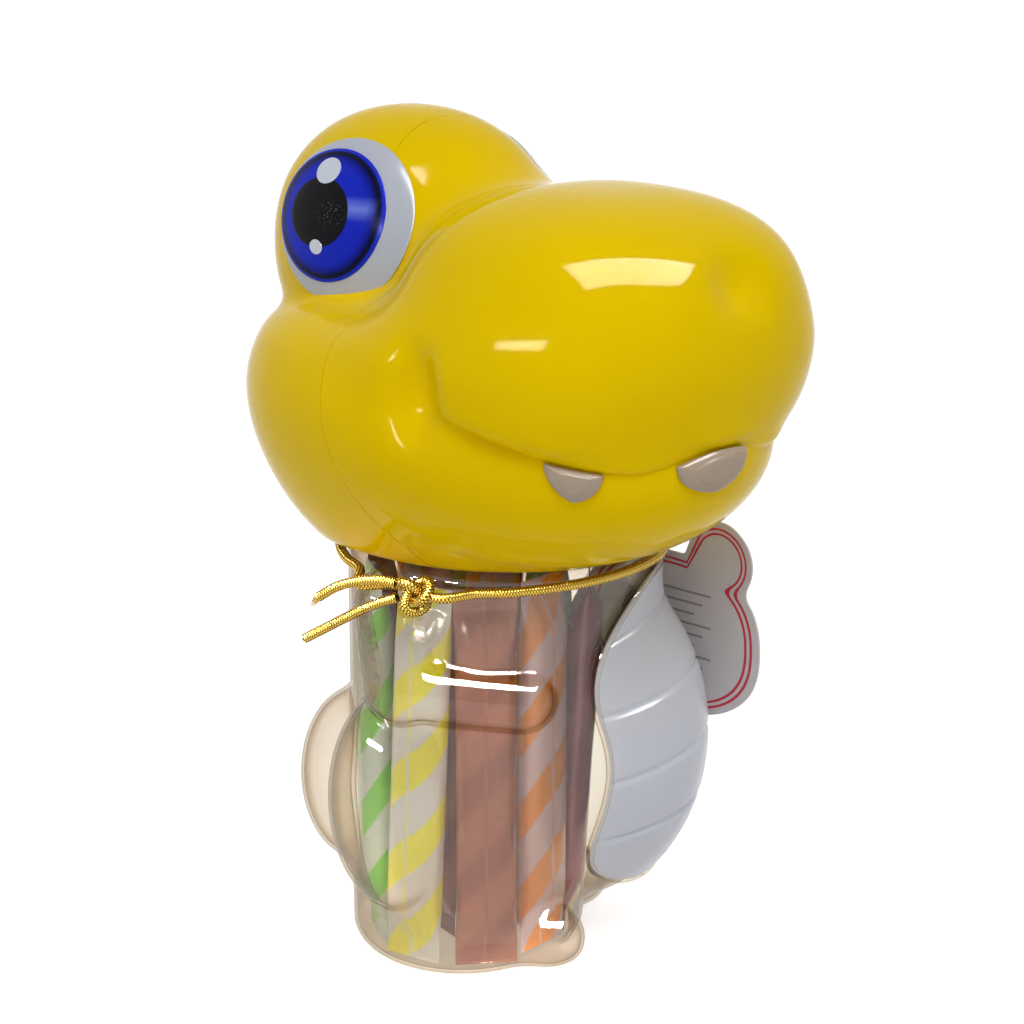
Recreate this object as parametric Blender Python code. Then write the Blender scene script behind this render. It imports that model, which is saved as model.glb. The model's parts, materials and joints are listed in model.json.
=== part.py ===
"""Clear candy jar with a dinosaur's head for a lid.

The jar is one hollow moulding shaped as the animal's body: belly, thighs, feet, tail and arms in relief.
Its head is the lid: a front and a back shell over an inner cap that slips over the jar's plain round neck,
so the head turns to face any way and lifts off. The jar holds wrapped candy sticks, and an elastic cord
round its shoulder carries a card tag. Units are metres, +Z is up, and the body faces -Y.
"""

import math

import bmesh
import bpy
import numpy as np
from mathutils import Vector

MM = 0.001
UP = np.array([0, 0, 1.0])


def mm(*values):
    """A place or a set of half sizes, written in millimetres."""
    return np.array(values, dtype=float) * MM


# Fits
GAP = 0.3 * MM
LID_GAP = 0.8 * MM

# Jar walls and neck
JAR_HEIGHT = 157.0 * MM
JAR_RADIUS = 56.5 * MM
JAR_BACK = 57.0 * MM
JAR_WALL = 1.2 * MM
BASE_HALF_WIDTH = 50.5 * MM
BASE_FRONT = 30.0 * MM
JAR_AXIS_Y = 8.0 * MM
BASE_ROUND = 6.0 * MM
SHOULDER_ROUND = 5.0 * MM
NECK_RADIUS = 46.0 * MM
NECK_HEIGHT = 25.0 * MM
NECK_LIP = 0.5 * MM

# Body forms of the jar: centres lie to the creature's left and are mirrored
FLARE_HEIGHT = 150.0 * MM
BELLY_REACH = 18.0 * MM
BELLY_SIDE_INSET = 10.5 * MM
BELLY_DROP = 75.0 * MM
BELLY_HALF_DEPTH = 52.5 * MM
BELLY_HALF_HEIGHT = 66.0 * MM
THIGH_CENTRE = mm(36, 24, 58)
THIGH_HALF = mm(24, 30, 40)
TAIL_CENTRE = mm(0, 57, 58)
TAIL_HALF = mm(20, 21, 38)
HEEL = mm(30, 22, 10)
TOE = mm(28, -22, 9)
HEEL_RADIUS = 14.0 * MM
TOE_RADIUS = 13.5 * MM
ARM_SHOULDER = mm(46, 30, -15)
ARM_ELBOW = mm(50, 24, -44)
ARM_HAND = mm(44, -20, -45)
UPPER_ARM_RADIUS = 12.0 * MM
FOREARM_RADIUS = 9.0 * MM
BELLY_BLEND = 8.0 * MM
LIMB_BLEND = 6.0 * MM
TAIL_BLEND = 9.0 * MM
ARM_BLEND = 4.0 * MM

# Belly plate
PLATE_DROP = 67.0 * MM
PLATE_HALF_HEIGHT = 59.0 * MM
PLATE_HALF_WIDTH = 41.0 * MM
PLATE_SQUARENESS = 3.0
PLATE_SAG = 8.0 * MM
PLATE_THICKNESS = 1.4 * MM
PLATE_EDGE = 0.7 * MM
PLATE_SEAT = 1.0 * MM
PLATE_END_SHARES = (0.93, 0.985)
GROOVE_COUNT = 4
GROOVE_TOP = 43.0 * MM
GROOVE_PITCH = 24.0 * MM
GROOVE_HALF_WIDTH = 1.3 * MM
GROOVE_DEPTH = 0.8 * MM

# Head, in its own frame: origin on the neck axis at the rim, nose to -Y
HEAD_TURN = math.radians(-39.5)
HEAD_WALL = 2.0 * MM
EYE_LOBE_CENTRE = mm(0, 49.5, 97.5)
EYE_LOBE_HALF = mm(50, 56, 52.5)
EYE_LOBE_SQUARENESS = 2.15
JAW_CENTRE = mm(0, -2, 50)
JAW_HALF = mm(82.5, 113, 57.5)
NAPE_CENTRE = mm(0, 20.5, 37)
NAPE_HALF = mm(73, 71.5, 61)
COLLAR_CENTRE = mm(0, 0, 20)
COLLAR_HALF = mm(59, 59, 45)
COLLAR_BLEND = 6.0 * MM
SNOUT_CENTRE = mm(0, -50.5, 91)
SNOUT_HALF = mm(63, 70, 41)
SNOUT_SQUARENESS = 2.45
MUZZLE_CENTRE = mm(0, -41, 71)
MUZZLE_HALF = mm(72, 71, 39.5)
MUZZLE_SQUARENESS = 2.4
LIP_HEIGHT = 48.0 * MM
LIP_LOWEST_Y = -102.0 * MM
LIP_CORNER_HEIGHT = 74.0 * MM
LIP_CORNER_Y = -49.0 * MM
LIP_NOSE_Y = -114.0 * MM
LIP_BOW = 4.5 * MM
LIP_ROUND = 9.0 * MM
LIP_CREASE = 3.0 * MM
LIP_STEP = 3.5 * MM
LIP_CURL = 5.0 * MM
LIP_FADE = 18.0 * MM
LIP_CORNER_FADE = 22.0 * MM
CHEEK_BLEND = 18.0 * MM
CHEEK_BLEND_FROM = 52.0 * MM
CHEEK_BLEND_TO = 78.0 * MM
BROW_BLEND_FROM = 92.0 * MM
BROW_BLEND_TO = 116.0 * MM
NAPE_BLEND = 12.0 * MM
LOBE_BLEND = 7.0 * MM
EYE_BED_BLEND = 18.0 * MM
SNOUT_BLEND = 12.0 * MM
DIMPLE_CENTRE = mm(82, -46, 74)
DIMPLE_HALF = mm(8, 6, 14)
NOSE_DIMPLE_CENTRE = mm(0, -117.5, 110)
NOSE_DIMPLE_HALF = mm(11, 11, 11)
DIMPLE_BLEND = 8.0 * MM
SEAM_LEAN = 0.34
SEAM_Y = -20.0 * MM
HEAD_CORE = mm(0, -5, 68)
RIM_CORE = mm(0, 5.2, 0)
HEAD_REACH = 2 * JAW_HALF[1]
LIP_ROW_LIFTS = np.radians((4.5, 2.0, 0.7, 0.0))

# Eyes, set on the lobe: turned from the nose, raised, and half as wide and high as these angles
EYE_TURN = math.radians(76.2)
EYE_RAISE = math.radians(22.5)
EYE_HALF_WIDTH = math.radians(34.4)
EYE_HALF_HEIGHT = math.radians(31.9)
EYE_THICKNESS = 0.9 * MM
IRIS_TURN = math.radians(79.8)
IRIS_RAISE = math.radians(20.5)
IRIS_HALF_WIDTH = math.radians(28)
IRIS_HALF_HEIGHT = math.radians(27.1)
IRIS_THICKNESS = 0.5 * MM
EYE_EDGE_SHARE = 0.35
EYE_RING_SHARES = (0.2, 0.4, 0.58, 0.75, 0.9, 1.0)

# Teeth under the lip: turn from the nose, width and drop of each
SIDE_TOOTH_TURN = math.radians(27.3)
SIDE_TOOTH_WIDTH = 18.5 * MM
SIDE_TOOTH_DROP = 10.5 * MM
FRONT_TOOTH_TURN = math.radians(2)
FRONT_TOOTH_WIDTH = 29.0 * MM
FRONT_TOOTH_DROP = 13.5 * MM
TOOTH_THICKNESS = 3.0 * MM
TOOTH_SHOULDER = 2.4 * MM
TOOTH_EDGE = 0.6 * MM
TOOTH_TUCK = 0.8 * MM
TOOTH_CORE = 29.0 * MM
TOOTH_MIDDLE_SHARE = 0.35
TOOTH_TIP_POWER = 1.35
TOOTH_RING_SHARES = (0.5, 0.8, 1.0)

# Inner cap and its seal
CAP_WALL = 1.8 * MM
CAP_CLEARANCE = 0.4 * MM
CAP_EDGE_GAP = 1.0 * MM
FLANGE_THICKNESS = 2.2 * MM
SEAL_THICKNESS = 1.4 * MM
SEAL_WIDTH = 3.4 * MM

# Cord, its knot and its two loose ends
CORD_RADIUS = 1.9 * MM
CORD_DROP = 3.0 * MM
CORD_STAND_OFF = 0.9 * MM
KNOT_TURN = math.radians(165.5)
KNOT_RADIUS = 7.0 * MM
KNOT_CORD_RADIUS = 2.2 * MM
KNOT_BLEND = 0.8 * MM
KNOT_TURN_LEANS = (0.2, 1.3, 2.4)
KNOT_PLANE = np.array([0.8, 0.6])
KNOT_SPAN = math.radians(19)
CORD_STEP = math.radians(11)
CORD_SIDES = 2
CORD_RETURN_INSET = 2.9 * MM
CORD_RETURN_RISE = 1.0 * MM
UPPER_END_OFFSETS = mm((7.4, 1.0, 3.2), (14, 2.2, 3.6), (22, 3.2, 2.2), (29.5, 4.2, -0.6), (36.5, 5, -5.2))
LOWER_END_OFFSETS = mm((7.0, 0.5, -2.2), (13, 1, -4.6), (21.5, 2.2, -8.8), (31.5, 3.8, -14.8), (42.5, 5, -21.5))
KNOT_SAG = 4.0 * MM
KNOT_SAG_SPREAD = math.radians(45)
TAG_SAG = 3.5 * MM
TAG_SAG_SPREAD = math.radians(35)

# Card tag: its face is square to a line this far round from the front, to the left
TAG_TURN = math.radians(57)
TAG_SETBACK = 12.0 * MM
TAG_THICKNESS = 0.8 * MM
TAG_LEAN = math.radians(1.5)
TAG_HOLE_RADIUS = 4.0 * MM
TAG_TAB_RADIUS = 6.8 * MM
TAG_BODY_CENTRE = mm(16, -41)
TAG_BODY_HALF = mm(43, 32)
TAG_LOBE_CENTRE = mm(40, -8.5)
TAG_LOBE_RADIUS = 15.3 * MM
TAG_BLEND = 4.0 * MM
TAG_BODY_SQUARENESS = 2.4
TAG_TAB_FOOT = mm(5, -22)
# Where the cord threads the tag's hole: ahead of the hinge and out from the card
THREAD_OFFSETS = mm((18, -1.2), (13, 3.8), (8.5, 5.2), (4.4, 3.6), (0, 0), (-4.4, -3.4))
THREAD_LEAVES = math.radians(49)
THREAD_RETURNS = math.radians(0)

# Candy sticks standing in the jar
STICK_LENGTH = 145.0 * MM
STICK_HALF_WIDTH = 11.5 * MM
STICK_HALF_DEPTH = 6.5 * MM
STICK_CRIMP_LENGTH = 8.0 * MM
STICK_CRIMP_HALF_DEPTH = 0.5 * MM
STICK_SHOULDER = 9.0 * MM
OUTER_STICKS = 9
INNER_STICKS = 4
INNER_RING_RADIUS = 15.0 * MM
STICK_RING_Y = 12.0 * MM
STICK_RING_START = math.radians(-2)
STICK_CLEARANCE = 1.0 * MM

# Mesh counts
COLUMNS = 52
EDGE_ROWS = 4
OUTER_WALL_ROWS = 18
INNER_WALL_ROWS = 11
PLATE_COLUMNS = 13
HEAD_UPPER_ROWS = 15
HEAD_LOWER_ROWS = 8
LINING_UPPER_ROWS = 7
LINING_LOWER_ROWS = 5
EYE_SIDES = 36
TOOTH_SIDES = 16
KNOT_ROWS = 11
KNOT_SIDES = 18
TAG_SIDES = 72
STICK_SIDES = 10
STICK_TESTS = 9
LIP_PASSES = 8
CAST_STEPS = 120
CAST_HALVINGS = 14

# Sizes and places that follow from those above
BELLY_HALF = np.array([JAR_RADIUS - BELLY_SIDE_INSET, BELLY_HALF_DEPTH, BELLY_HALF_HEIGHT])
BELLY_CENTRE = np.array([0, BELLY_HALF_DEPTH - JAR_RADIUS - BELLY_REACH, JAR_HEIGHT - BELLY_DROP])
PLATE_CENTRE_Z = JAR_HEIGHT - PLATE_DROP
RIM_HEIGHT = JAR_HEIGHT + LID_GAP
NECK_TOP = JAR_HEIGHT + NECK_HEIGHT
CORD_HEIGHT = JAR_HEIGHT - CORD_DROP


def ellipsoid(points, centre, half):
    """Near distance to an ellipsoid."""
    offset = points - centre
    scaled = np.linalg.norm(offset / half, axis=-1)
    slope = np.linalg.norm(offset / half**2, axis=-1)
    return scaled * (scaled - 1) / np.maximum(slope, 1e-9)


def squared_ellipsoid(points, centre, half, squareness):
    """Near distance to an ellipsoid with fuller corners."""
    scaled = np.abs((points - centre) / half) ** squareness
    return (scaled.sum(axis=-1) ** (1 / squareness) - 1) * half.min()


def capsule(points, start, end, start_radius, end_radius):
    """Distance to a tapering round-ended rod."""
    along = end - start
    share = np.clip((points - start) @ along / (along @ along), 0, 1)
    radius = start_radius + (end_radius - start_radius) * share
    return np.linalg.norm(points - start - share[..., None] * along, axis=-1) - radius


def blend(first, second, width):
    """Union of two forms with a soft fillet between them."""
    share = np.clip(0.5 + 0.5 * (second - first) / width, 0, 1)
    return second * (1 - share) + first * share - width * share * (1 - share)


def carve(form, cutter, width):
    """A form less a cutter, with a soft edge."""
    return -blend(-form, cutter, width)


def mirrored(points):
    """Points folded on to the creature's left half."""
    folded = np.array(points, dtype=float)
    folded[..., 0] = np.abs(folded[..., 0])
    return folded


def smooth_step(value):
    """Soft ramp from 0 to 1."""
    share = np.clip(value, 0, 1)
    return share * share * (3 - 2 * share)


def jar_form(points):
    """Near distance to the jar's outer wall below the shoulder."""
    p = mirrored(points)
    flare = smooth_step(p[..., 2] / FLARE_HEIGHT)
    front = BASE_FRONT + (JAR_RADIUS - BASE_FRONT) * flare
    half_width = BASE_HALF_WIDTH + (JAR_RADIUS - BASE_HALF_WIDTH) * flare
    half_depth = (front + JAR_BACK) / 2
    across = p[..., 0] / half_width
    fore_and_aft = (p[..., 1] - (JAR_BACK - front) / 2) / half_depth
    form = (np.hypot(across, fore_and_aft) - 1) * np.minimum(half_width, half_depth)
    shoulder_level = UP * JAR_HEIGHT
    elbow = shoulder_level + ARM_ELBOW
    upper_arm = capsule(p, shoulder_level + ARM_SHOULDER, elbow, UPPER_ARM_RADIUS, UPPER_ARM_RADIUS)
    forearm = capsule(p, elbow, shoulder_level + ARM_HAND, FOREARM_RADIUS, FOREARM_RADIUS)
    form = blend(form, ellipsoid(p, BELLY_CENTRE, BELLY_HALF), BELLY_BLEND)
    form = blend(form, ellipsoid(p, THIGH_CENTRE, THIGH_HALF), LIMB_BLEND)
    form = blend(form, capsule(p, HEEL, TOE, HEEL_RADIUS, TOE_RADIUS), LIMB_BLEND)
    form = blend(form, ellipsoid(p, TAIL_CENTRE, TAIL_HALF), TAIL_BLEND)
    return blend(form, blend(upper_arm, forearm, ARM_BLEND), ARM_BLEND)


def lip_height(y):
    """Height of the lip's edge: lowest on either side of the nose, and rising to it and to the mouth's corners."""
    to_corner = np.clip((y - LIP_LOWEST_Y) / (LIP_CORNER_Y - LIP_LOWEST_Y), 0, 1)
    to_nose = np.clip((y - LIP_LOWEST_Y) / (LIP_NOSE_Y - LIP_LOWEST_Y), 0, 1)
    return LIP_HEIGHT + (LIP_CORNER_HEIGHT - LIP_HEIGHT) * to_corner**2 + LIP_BOW * to_nose**2


def lip_recess(y, below):
    """How far the skin is drawn in at the lip: it curls under, and fades out down the jaw and at the corners."""
    curl = 1 - np.sqrt(1 - np.clip(1 + below / LIP_CURL, 0, 1) ** 2)
    fade = np.exp(-np.maximum(below, 0) / LIP_FADE)
    return LIP_STEP * curl * fade * smooth_step((LIP_CORNER_Y - y) / LIP_CORNER_FADE)


def head_form(points, lobe_blend=LOBE_BLEND):
    """Near distance to the head's outer skin, in the head's own frame."""
    p = mirrored(points)
    y = p[..., 1]
    z = p[..., 2]
    jaw = blend(ellipsoid(p, JAW_CENTRE, JAW_HALF), ellipsoid(p, NAPE_CENTRE, NAPE_HALF), NAPE_BLEND)
    jaw = blend(jaw, ellipsoid(p, COLLAR_CENTRE, COLLAR_HALF), COLLAR_BLEND)
    lobe = squared_ellipsoid(p, EYE_LOBE_CENTRE, EYE_LOBE_HALF, EYE_LOBE_SQUARENESS)
    snout = squared_ellipsoid(p, SNOUT_CENTRE, SNOUT_HALF, SNOUT_SQUARENESS)
    muzzle = squared_ellipsoid(p, MUZZLE_CENTRE, MUZZLE_HALF, MUZZLE_SQUARENESS)
    lip = lip_height(y)
    upper = blend(snout, carve(muzzle, z - lip, LIP_ROUND), SNOUT_BLEND)
    rise = np.clip((z - CHEEK_BLEND_FROM) / (CHEEK_BLEND_TO - CHEEK_BLEND_FROM), 0, 1)
    fall = np.clip((BROW_BLEND_TO - z) / (BROW_BLEND_TO - BROW_BLEND_FROM), 0, 1)
    crease = LIP_CREASE + (CHEEK_BLEND - LIP_CREASE) * rise * fall
    form = blend(blend(jaw, lobe, lobe_blend), upper, crease)
    form = carve(form, ellipsoid(p, DIMPLE_CENTRE, DIMPLE_HALF), DIMPLE_BLEND)
    form = carve(form, ellipsoid(p, NOSE_DIMPLE_CENTRE, NOSE_DIMPLE_HALF), DIMPLE_BLEND)
    return form + lip_recess(y, lip - z)


def eye_bed(points):
    """Near distance to the skin that the eyes lie on, which fills the crease under the dome."""
    return head_form(points, EYE_BED_BLEND)


def cast(form, origin, directions, reach, depth=0.0):
    """Where each ray last lies this deep under a form's surface."""
    steps = np.linspace(0, reach, CAST_STEPS)
    inside = np.stack([form(origin + directions * step) < -depth for step in steps])
    last = CAST_STEPS - 1 - np.argmax(inside[::-1], axis=0)
    near = steps[last]
    far = near + steps[1]
    for _ in range(CAST_HALVINGS):
        middle = (near + far) / 2
        within = form(origin + directions * middle[..., None]) < -depth
        near = np.where(within, middle, near)
        far = np.where(within, far, middle)
    return origin + directions * near[..., None]


def outward(form, points):
    """Unit normals of a form's surface."""
    step = 0.2 * MM
    slopes = [form(points + step * axis) - form(points - step * axis) for axis in np.eye(3)]
    normal = np.stack(slopes, axis=-1)
    return normal / np.linalg.norm(normal, axis=-1, keepdims=True)


def turn_angles(count):
    """Equal turns round a ring."""
    return np.arange(count) * 2 * math.pi / count


def level_directions(count):
    """Level unit vectors all round."""
    turn = turn_angles(count)
    return np.stack([np.cos(turn), np.sin(turn), 0 * turn], axis=-1)


def circle(radius, height, count=COLUMNS):
    """A level ring of points round the neck axis."""
    ring = level_directions(count) * radius
    ring[:, 2] = height
    return ring


def plastic(name, colour, roughness, metallic=0.0, transmission=0.0):
    """A plain material for one sub-part."""
    material = bpy.data.materials.new(name)
    material.use_nodes = True
    shader = material.node_tree.nodes["Principled BSDF"]
    shader.inputs["Base Color"].default_value = (*colour, 1)
    shader.inputs["Roughness"].default_value = roughness
    shader.inputs["Metallic"].default_value = metallic
    shader.inputs["Transmission Weight"].default_value = transmission
    return material


def place(name, data, material, parent=None):
    """Put mesh or curve data in the scene as one named piece."""
    piece = bpy.data.objects.new(name, data)
    data.materials.append(material)
    bpy.context.scene.collection.objects.link(piece)
    piece.parent = parent
    return piece


def solid(name, bm, material, parent=None):
    """Finish a closed bmesh as one smooth-shaded piece."""
    bmesh.ops.recalc_face_normals(bm, faces=bm.faces[:])
    mesh = bpy.data.meshes.new(name)
    bm.to_mesh(mesh)
    bm.free()
    mesh.shade_smooth()
    mesh.set_sharp_from_angle(angle=math.radians(40))
    return place(name, mesh, material, parent)


def bridge(bm, lower, upper):
    """Faces between two rings of vertices, where the second may have half as many."""
    halved = len(lower) // len(upper) == 2
    for i, corner in enumerate(upper):
        after = upper[(i + 1) % len(upper)]
        if halved:
            first, middle, last = (lower[(2 * i + k) % len(lower)] for k in range(3))
            bm.faces.new((first, middle, corner))
            bm.faces.new((middle, after, corner))
            bm.faces.new((middle, last, after))
        else:
            bm.faces.new((lower[i], lower[(i + 1) % len(lower)], after, corner))


def loft(rows, poles=None):
    """Skin through rings in turn, shut by a fan at each end, or else joined end to end."""
    bm = bmesh.new()
    rings = [[bm.verts.new(point) for point in row] for row in rows]
    for lower, upper in zip(rings, rings[1:]):
        bridge(bm, lower, upper)
    if poles is None:
        bridge(bm, rings[-1], rings[0])
        return bm
    for ring, pole in zip((rings[0], rings[-1]), poles):
        tip = bm.verts.new(pole)
        for i, corner in enumerate(ring):
            bm.faces.new((tip, corner, ring[(i + 1) % len(ring)]))
    return bm


def round_inset(radius, level):
    """How far a rounded edge draws in at a level below the end of its round."""
    short = np.clip(radius - level, 0, radius)
    return radius - math.sqrt(radius**2 - short**2)


def jar_ring(height, depth, inset, columns):
    """A level ring on the jar's wall, this deep under its surface and drawn in at an edge."""
    directions = level_directions(columns)
    axis = np.array([0, JAR_AXIS_Y, height])
    return cast(jar_form, axis, directions, 2 * JAR_RADIUS, depth) - directions * inset


def jar_levels(bottom, top, wall_rows):
    """Heights of the wall's rings between two edges: close at the edges' rounds."""
    arc = np.linspace(0, math.pi / 2, EDGE_ROWS)
    base = bottom + BASE_ROUND * (1 - np.cos(arc))
    shoulder = top - SHOULDER_ROUND * (1 - np.cos(arc[::-1]))
    wall = np.linspace(base[-1], shoulder[0], wall_rows)
    return np.concatenate([base, wall[1:-1], shoulder])


def wall_rings(depth, columns, wall_rows):
    """Rings of one face of the jar's wall, from its floor to its shoulder."""
    bottom = depth
    top = JAR_HEIGHT - depth
    rings = []
    for height in jar_levels(bottom, top, wall_rows):
        low = round_inset(BASE_ROUND - depth, height - bottom)
        high = round_inset(SHOULDER_ROUND - depth, top - height)
        rings.append(jar_ring(height, depth, max(low, high), columns))
    return rings


def build_jar(material):
    """Hollow jar: outer wall, shoulder, plain neck with a rolled lip, and the inside down to the floor."""
    outer = wall_rings(0.0, COLUMNS, OUTER_WALL_ROWS)
    inner = wall_rings(JAR_WALL, COLUMNS // 2, INNER_WALL_ROWS)
    bore = NECK_RADIUS - JAR_WALL
    neck = [
        circle(NECK_RADIUS, JAR_HEIGHT),
        circle(NECK_RADIUS, NECK_TOP - NECK_LIP),
        circle(NECK_RADIUS - NECK_LIP, NECK_TOP),
        circle(bore + NECK_LIP / 2, NECK_TOP),
        circle(bore, NECK_TOP - NECK_LIP),
        circle(bore, JAR_HEIGHT - JAR_WALL, COLUMNS // 2),
    ]
    poles = [(0, JAR_AXIS_Y, 0), (0, JAR_AXIS_Y, JAR_WALL)]
    return solid("jar_body", loft(outer + neck + inner[::-1], poles), material)


def plate_half_width(height):
    """Half width of the belly plate at a level on its middle line."""
    share = np.abs((height - PLATE_CENTRE_Z) / PLATE_HALF_HEIGHT) ** PLATE_SQUARENESS
    return PLATE_HALF_WIDTH * (1 - share) ** (1 / PLATE_SQUARENESS)


def plate_levels():
    """Heights of the plate's rows, with three rows to each groove, and each row's loss of thickness."""
    levels = []
    for i in range(GROOVE_COUNT):
        middle = PLATE_CENTRE_Z + GROOVE_TOP - i * GROOVE_PITCH
        levels.append((middle + GROOVE_HALF_WIDTH, 0.0))
        levels.append((middle, GROOVE_DEPTH))
        levels.append((middle - GROOVE_HALF_WIDTH, 0.0))
        levels.append((middle - GROOVE_PITCH / 2, 0.0))
    for share in PLATE_END_SHARES:
        levels.append((PLATE_CENTRE_Z + share * PLATE_HALF_HEIGHT, 0.0))
        levels.append((PLATE_CENTRE_Z - share * PLATE_HALF_HEIGHT, 0.0))
    return sorted(levels)


def build_belly_plate(material):
    """White plate on the belly, grooved in curved bands, following the jar's wall."""
    shares = np.sin(np.linspace(-math.pi / 2, math.pi / 2, PLATE_COLUMNS))
    levels = plate_levels()
    x = np.array([plate_half_width(height) * shares for height, _ in levels])
    z = np.array([height + 0 * shares for height, _ in levels]) - PLATE_SAG * (x / PLATE_HALF_WIDTH) ** 2
    inside = np.stack([x, BELLY_CENTRE[1] + 0 * x, z], axis=-1)
    skin = cast(jar_form, inside, np.array([0, -1.0, 0]), 2 * BELLY_HALF[1])
    normal = outward(jar_form, skin)
    thickness = PLATE_THICKNESS - np.array([[loss] for _, loss in levels]) + 0 * x
    thickness[:, 0] = thickness[:, -1] = PLATE_EDGE
    thickness[0] = thickness[-1] = PLATE_EDGE
    back = skin + normal * PLATE_SEAT
    face = back + normal * thickness[..., None]
    bm = bmesh.new()
    sheets = [[[bm.verts.new(point) for point in row] for row in sheet] for sheet in (back, face)]
    last_row = len(levels) - 1
    last_column = len(shares) - 1
    for i in range(last_row):
        for j in range(last_column):
            for sheet in sheets:
                bm.faces.new((sheet[i][j], sheet[i][j + 1], sheet[i + 1][j + 1], sheet[i + 1][j]))
    edge = [(0, j) for j in range(last_column)]
    edge += [(i, last_column) for i in range(last_row)]
    edge += [(last_row, j) for j in range(last_column, 0, -1)]
    edge += [(i, 0) for i in range(last_row, 0, -1)]
    bridge(bm, *[[sheet[i][j] for i, j in edge] for sheet in sheets])
    return solid("belly_plate", bm, material)


def tilted(tilt, turn):
    """Unit vectors tilted from straight up, towards level turns."""
    level = np.stack([np.cos(turn), np.sin(turn), 0 * turn], axis=-1)
    return level * np.sin(tilt)[:, None] + UP * np.cos(tilt)[:, None]


def lip_tilts(turn, depth):
    """Tilt of each column's ray that meets the lip's edge."""
    tilt = np.full(len(turn), math.pi / 2)
    for _ in range(LIP_PASSES):
        skin = cast(head_form, HEAD_CORE, tilted(tilt, turn), HEAD_REACH, depth)
        reach = np.linalg.norm(skin - HEAD_CORE, axis=-1)
        tilt = np.arccos((lip_height(skin[:, 1]) - HEAD_CORE[2]) / reach)
    return tilt


def head_rows(depth, columns, upper_rows, lower_rows):
    """Rings of one face of the head's wall, from near its crown past the lip's edge to its rim."""
    rim = cast(head_form, RIM_CORE, level_directions(columns), HEAD_REACH, depth)
    to_rim = rim - HEAD_CORE
    turn = np.arctan2(to_rim[:, 1], to_rim[:, 0])
    rim_tilt = np.arccos(to_rim[:, 2] / np.linalg.norm(to_rim, axis=-1))
    lip = lip_tilts(turn, depth)
    edge = [lip - lift for lift in LIP_ROW_LIFTS]
    tilts = [edge[0] * share for share in np.linspace(0, 1, upper_rows + 1)[1:-1]] + edge
    tilts += [lip + (rim_tilt - lip) * share for share in np.linspace(0, 1, lower_rows + 1)[1:-1]]
    rows = [cast(head_form, HEAD_CORE, tilted(tilt, turn), HEAD_REACH, depth) for tilt in tilts]
    crown = cast(head_form, HEAD_CORE, UP[None], HEAD_REACH, depth)[0]
    return rows + [rim], crown


def build_head_shell(name, side, material, parent):
    """Front (-1) or back (1) shell of the hollow head, cut at the leaning seam."""
    outer, outer_crown = head_rows(0.0, COLUMNS, HEAD_UPPER_ROWS, HEAD_LOWER_ROWS)
    inner, inner_crown = head_rows(HEAD_WALL, COLUMNS // 2, LINING_UPPER_ROWS, LINING_LOWER_ROWS)
    bm = loft(outer + inner[::-1], [outer_crown, inner_crown])
    normal = Vector((0, side, -side * SEAM_LEAN)).normalized()
    middle = Vector((0, SEAM_Y, 0)) + normal * GAP / 2
    geometry = bm.verts[:] + bm.edges[:] + bm.faces[:]
    bmesh.ops.bisect_plane(bm, geom=geometry, plane_co=middle, plane_no=normal, clear_inner=True, dist=1e-7)
    rim = [edge for edge in bm.edges if edge.is_boundary]
    bmesh.ops.triangle_fill(bm, edges=rim, use_beauty=True, normal=normal)
    return solid(name, bm, material, parent)


def build_cap(material, parent):
    """Inner cap: a disc and skirt over the neck, and a flange that reaches the head's wall."""
    skirt_inside = NECK_RADIUS + CAP_CLEARANCE
    skirt_outside = skirt_inside + CAP_WALL
    roof = NECK_HEIGHT - LID_GAP + SEAL_THICKNESS + 2 * GAP
    flange_bottom = GAP
    flange_top = flange_bottom + FLANGE_THICKNESS
    directions = level_directions(COLUMNS)
    edge = []
    for height in (flange_top, flange_bottom):
        edge.append(cast(head_form, RIM_CORE + UP * height, directions, HEAD_REACH, HEAD_WALL + CAP_EDGE_GAP))
    rows = [
        circle(skirt_outside, roof + CAP_WALL),
        circle(skirt_outside, flange_top),
        edge[0],
        edge[1],
        circle(skirt_inside, flange_bottom),
        circle(skirt_inside, roof),
    ]
    return solid("inner_cap", loft(rows, [(0, 0, roof + CAP_WALL), (0, 0, roof)]), material, parent)


def build_seal(material):
    """Flat ring between the neck's lip and the cap."""
    bottom = NECK_TOP + GAP
    top = bottom + SEAL_THICKNESS
    outside = NECK_RADIUS
    inside = NECK_RADIUS - SEAL_WIDTH
    corners = ((outside, bottom), (outside, top), (inside, top), (inside, bottom))
    rows = [circle(radius, height, COLUMNS // 2) for radius, height in corners]
    return solid("lid_seal", loft(rows), material)


def look(turn, rise, side):
    """Unit vector turned from the nose towards one side and raised."""
    level = np.array([side * math.sin(turn), -math.cos(turn), 0])
    return level * math.cos(rise) + UP * math.sin(rise)


def spread(axis, half_width, half_height, count):
    """Unit vectors all round an axis, leaning from it by an angle across and an angle upright."""
    across = np.cross(axis, UP)
    across /= np.linalg.norm(across)
    upright = np.cross(across, axis)
    turn = turn_angles(count)[:, None]
    ring = axis + math.tan(half_width) * np.cos(turn) * across + math.tan(half_height) * np.sin(turn) * upright
    return ring / np.linalg.norm(ring, axis=-1, keepdims=True)


def dome(form, skins, centres, stand_off, thicknesses):
    """Skin of a plate from its middle to its rim and back beneath, on rings of surface points."""
    normals = [outward(form, skin) for skin in skins]
    face = [s + n * (stand_off + t) for s, n, t in zip(skins, normals, thicknesses)]
    back = [s + n * stand_off for s, n in zip(skins, normals)]
    axis = outward(form, centres)
    poles = [centres + axis * (stand_off + thicknesses[0]), centres + axis * stand_off]
    return loft(face + back[::-1], poles)


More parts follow.
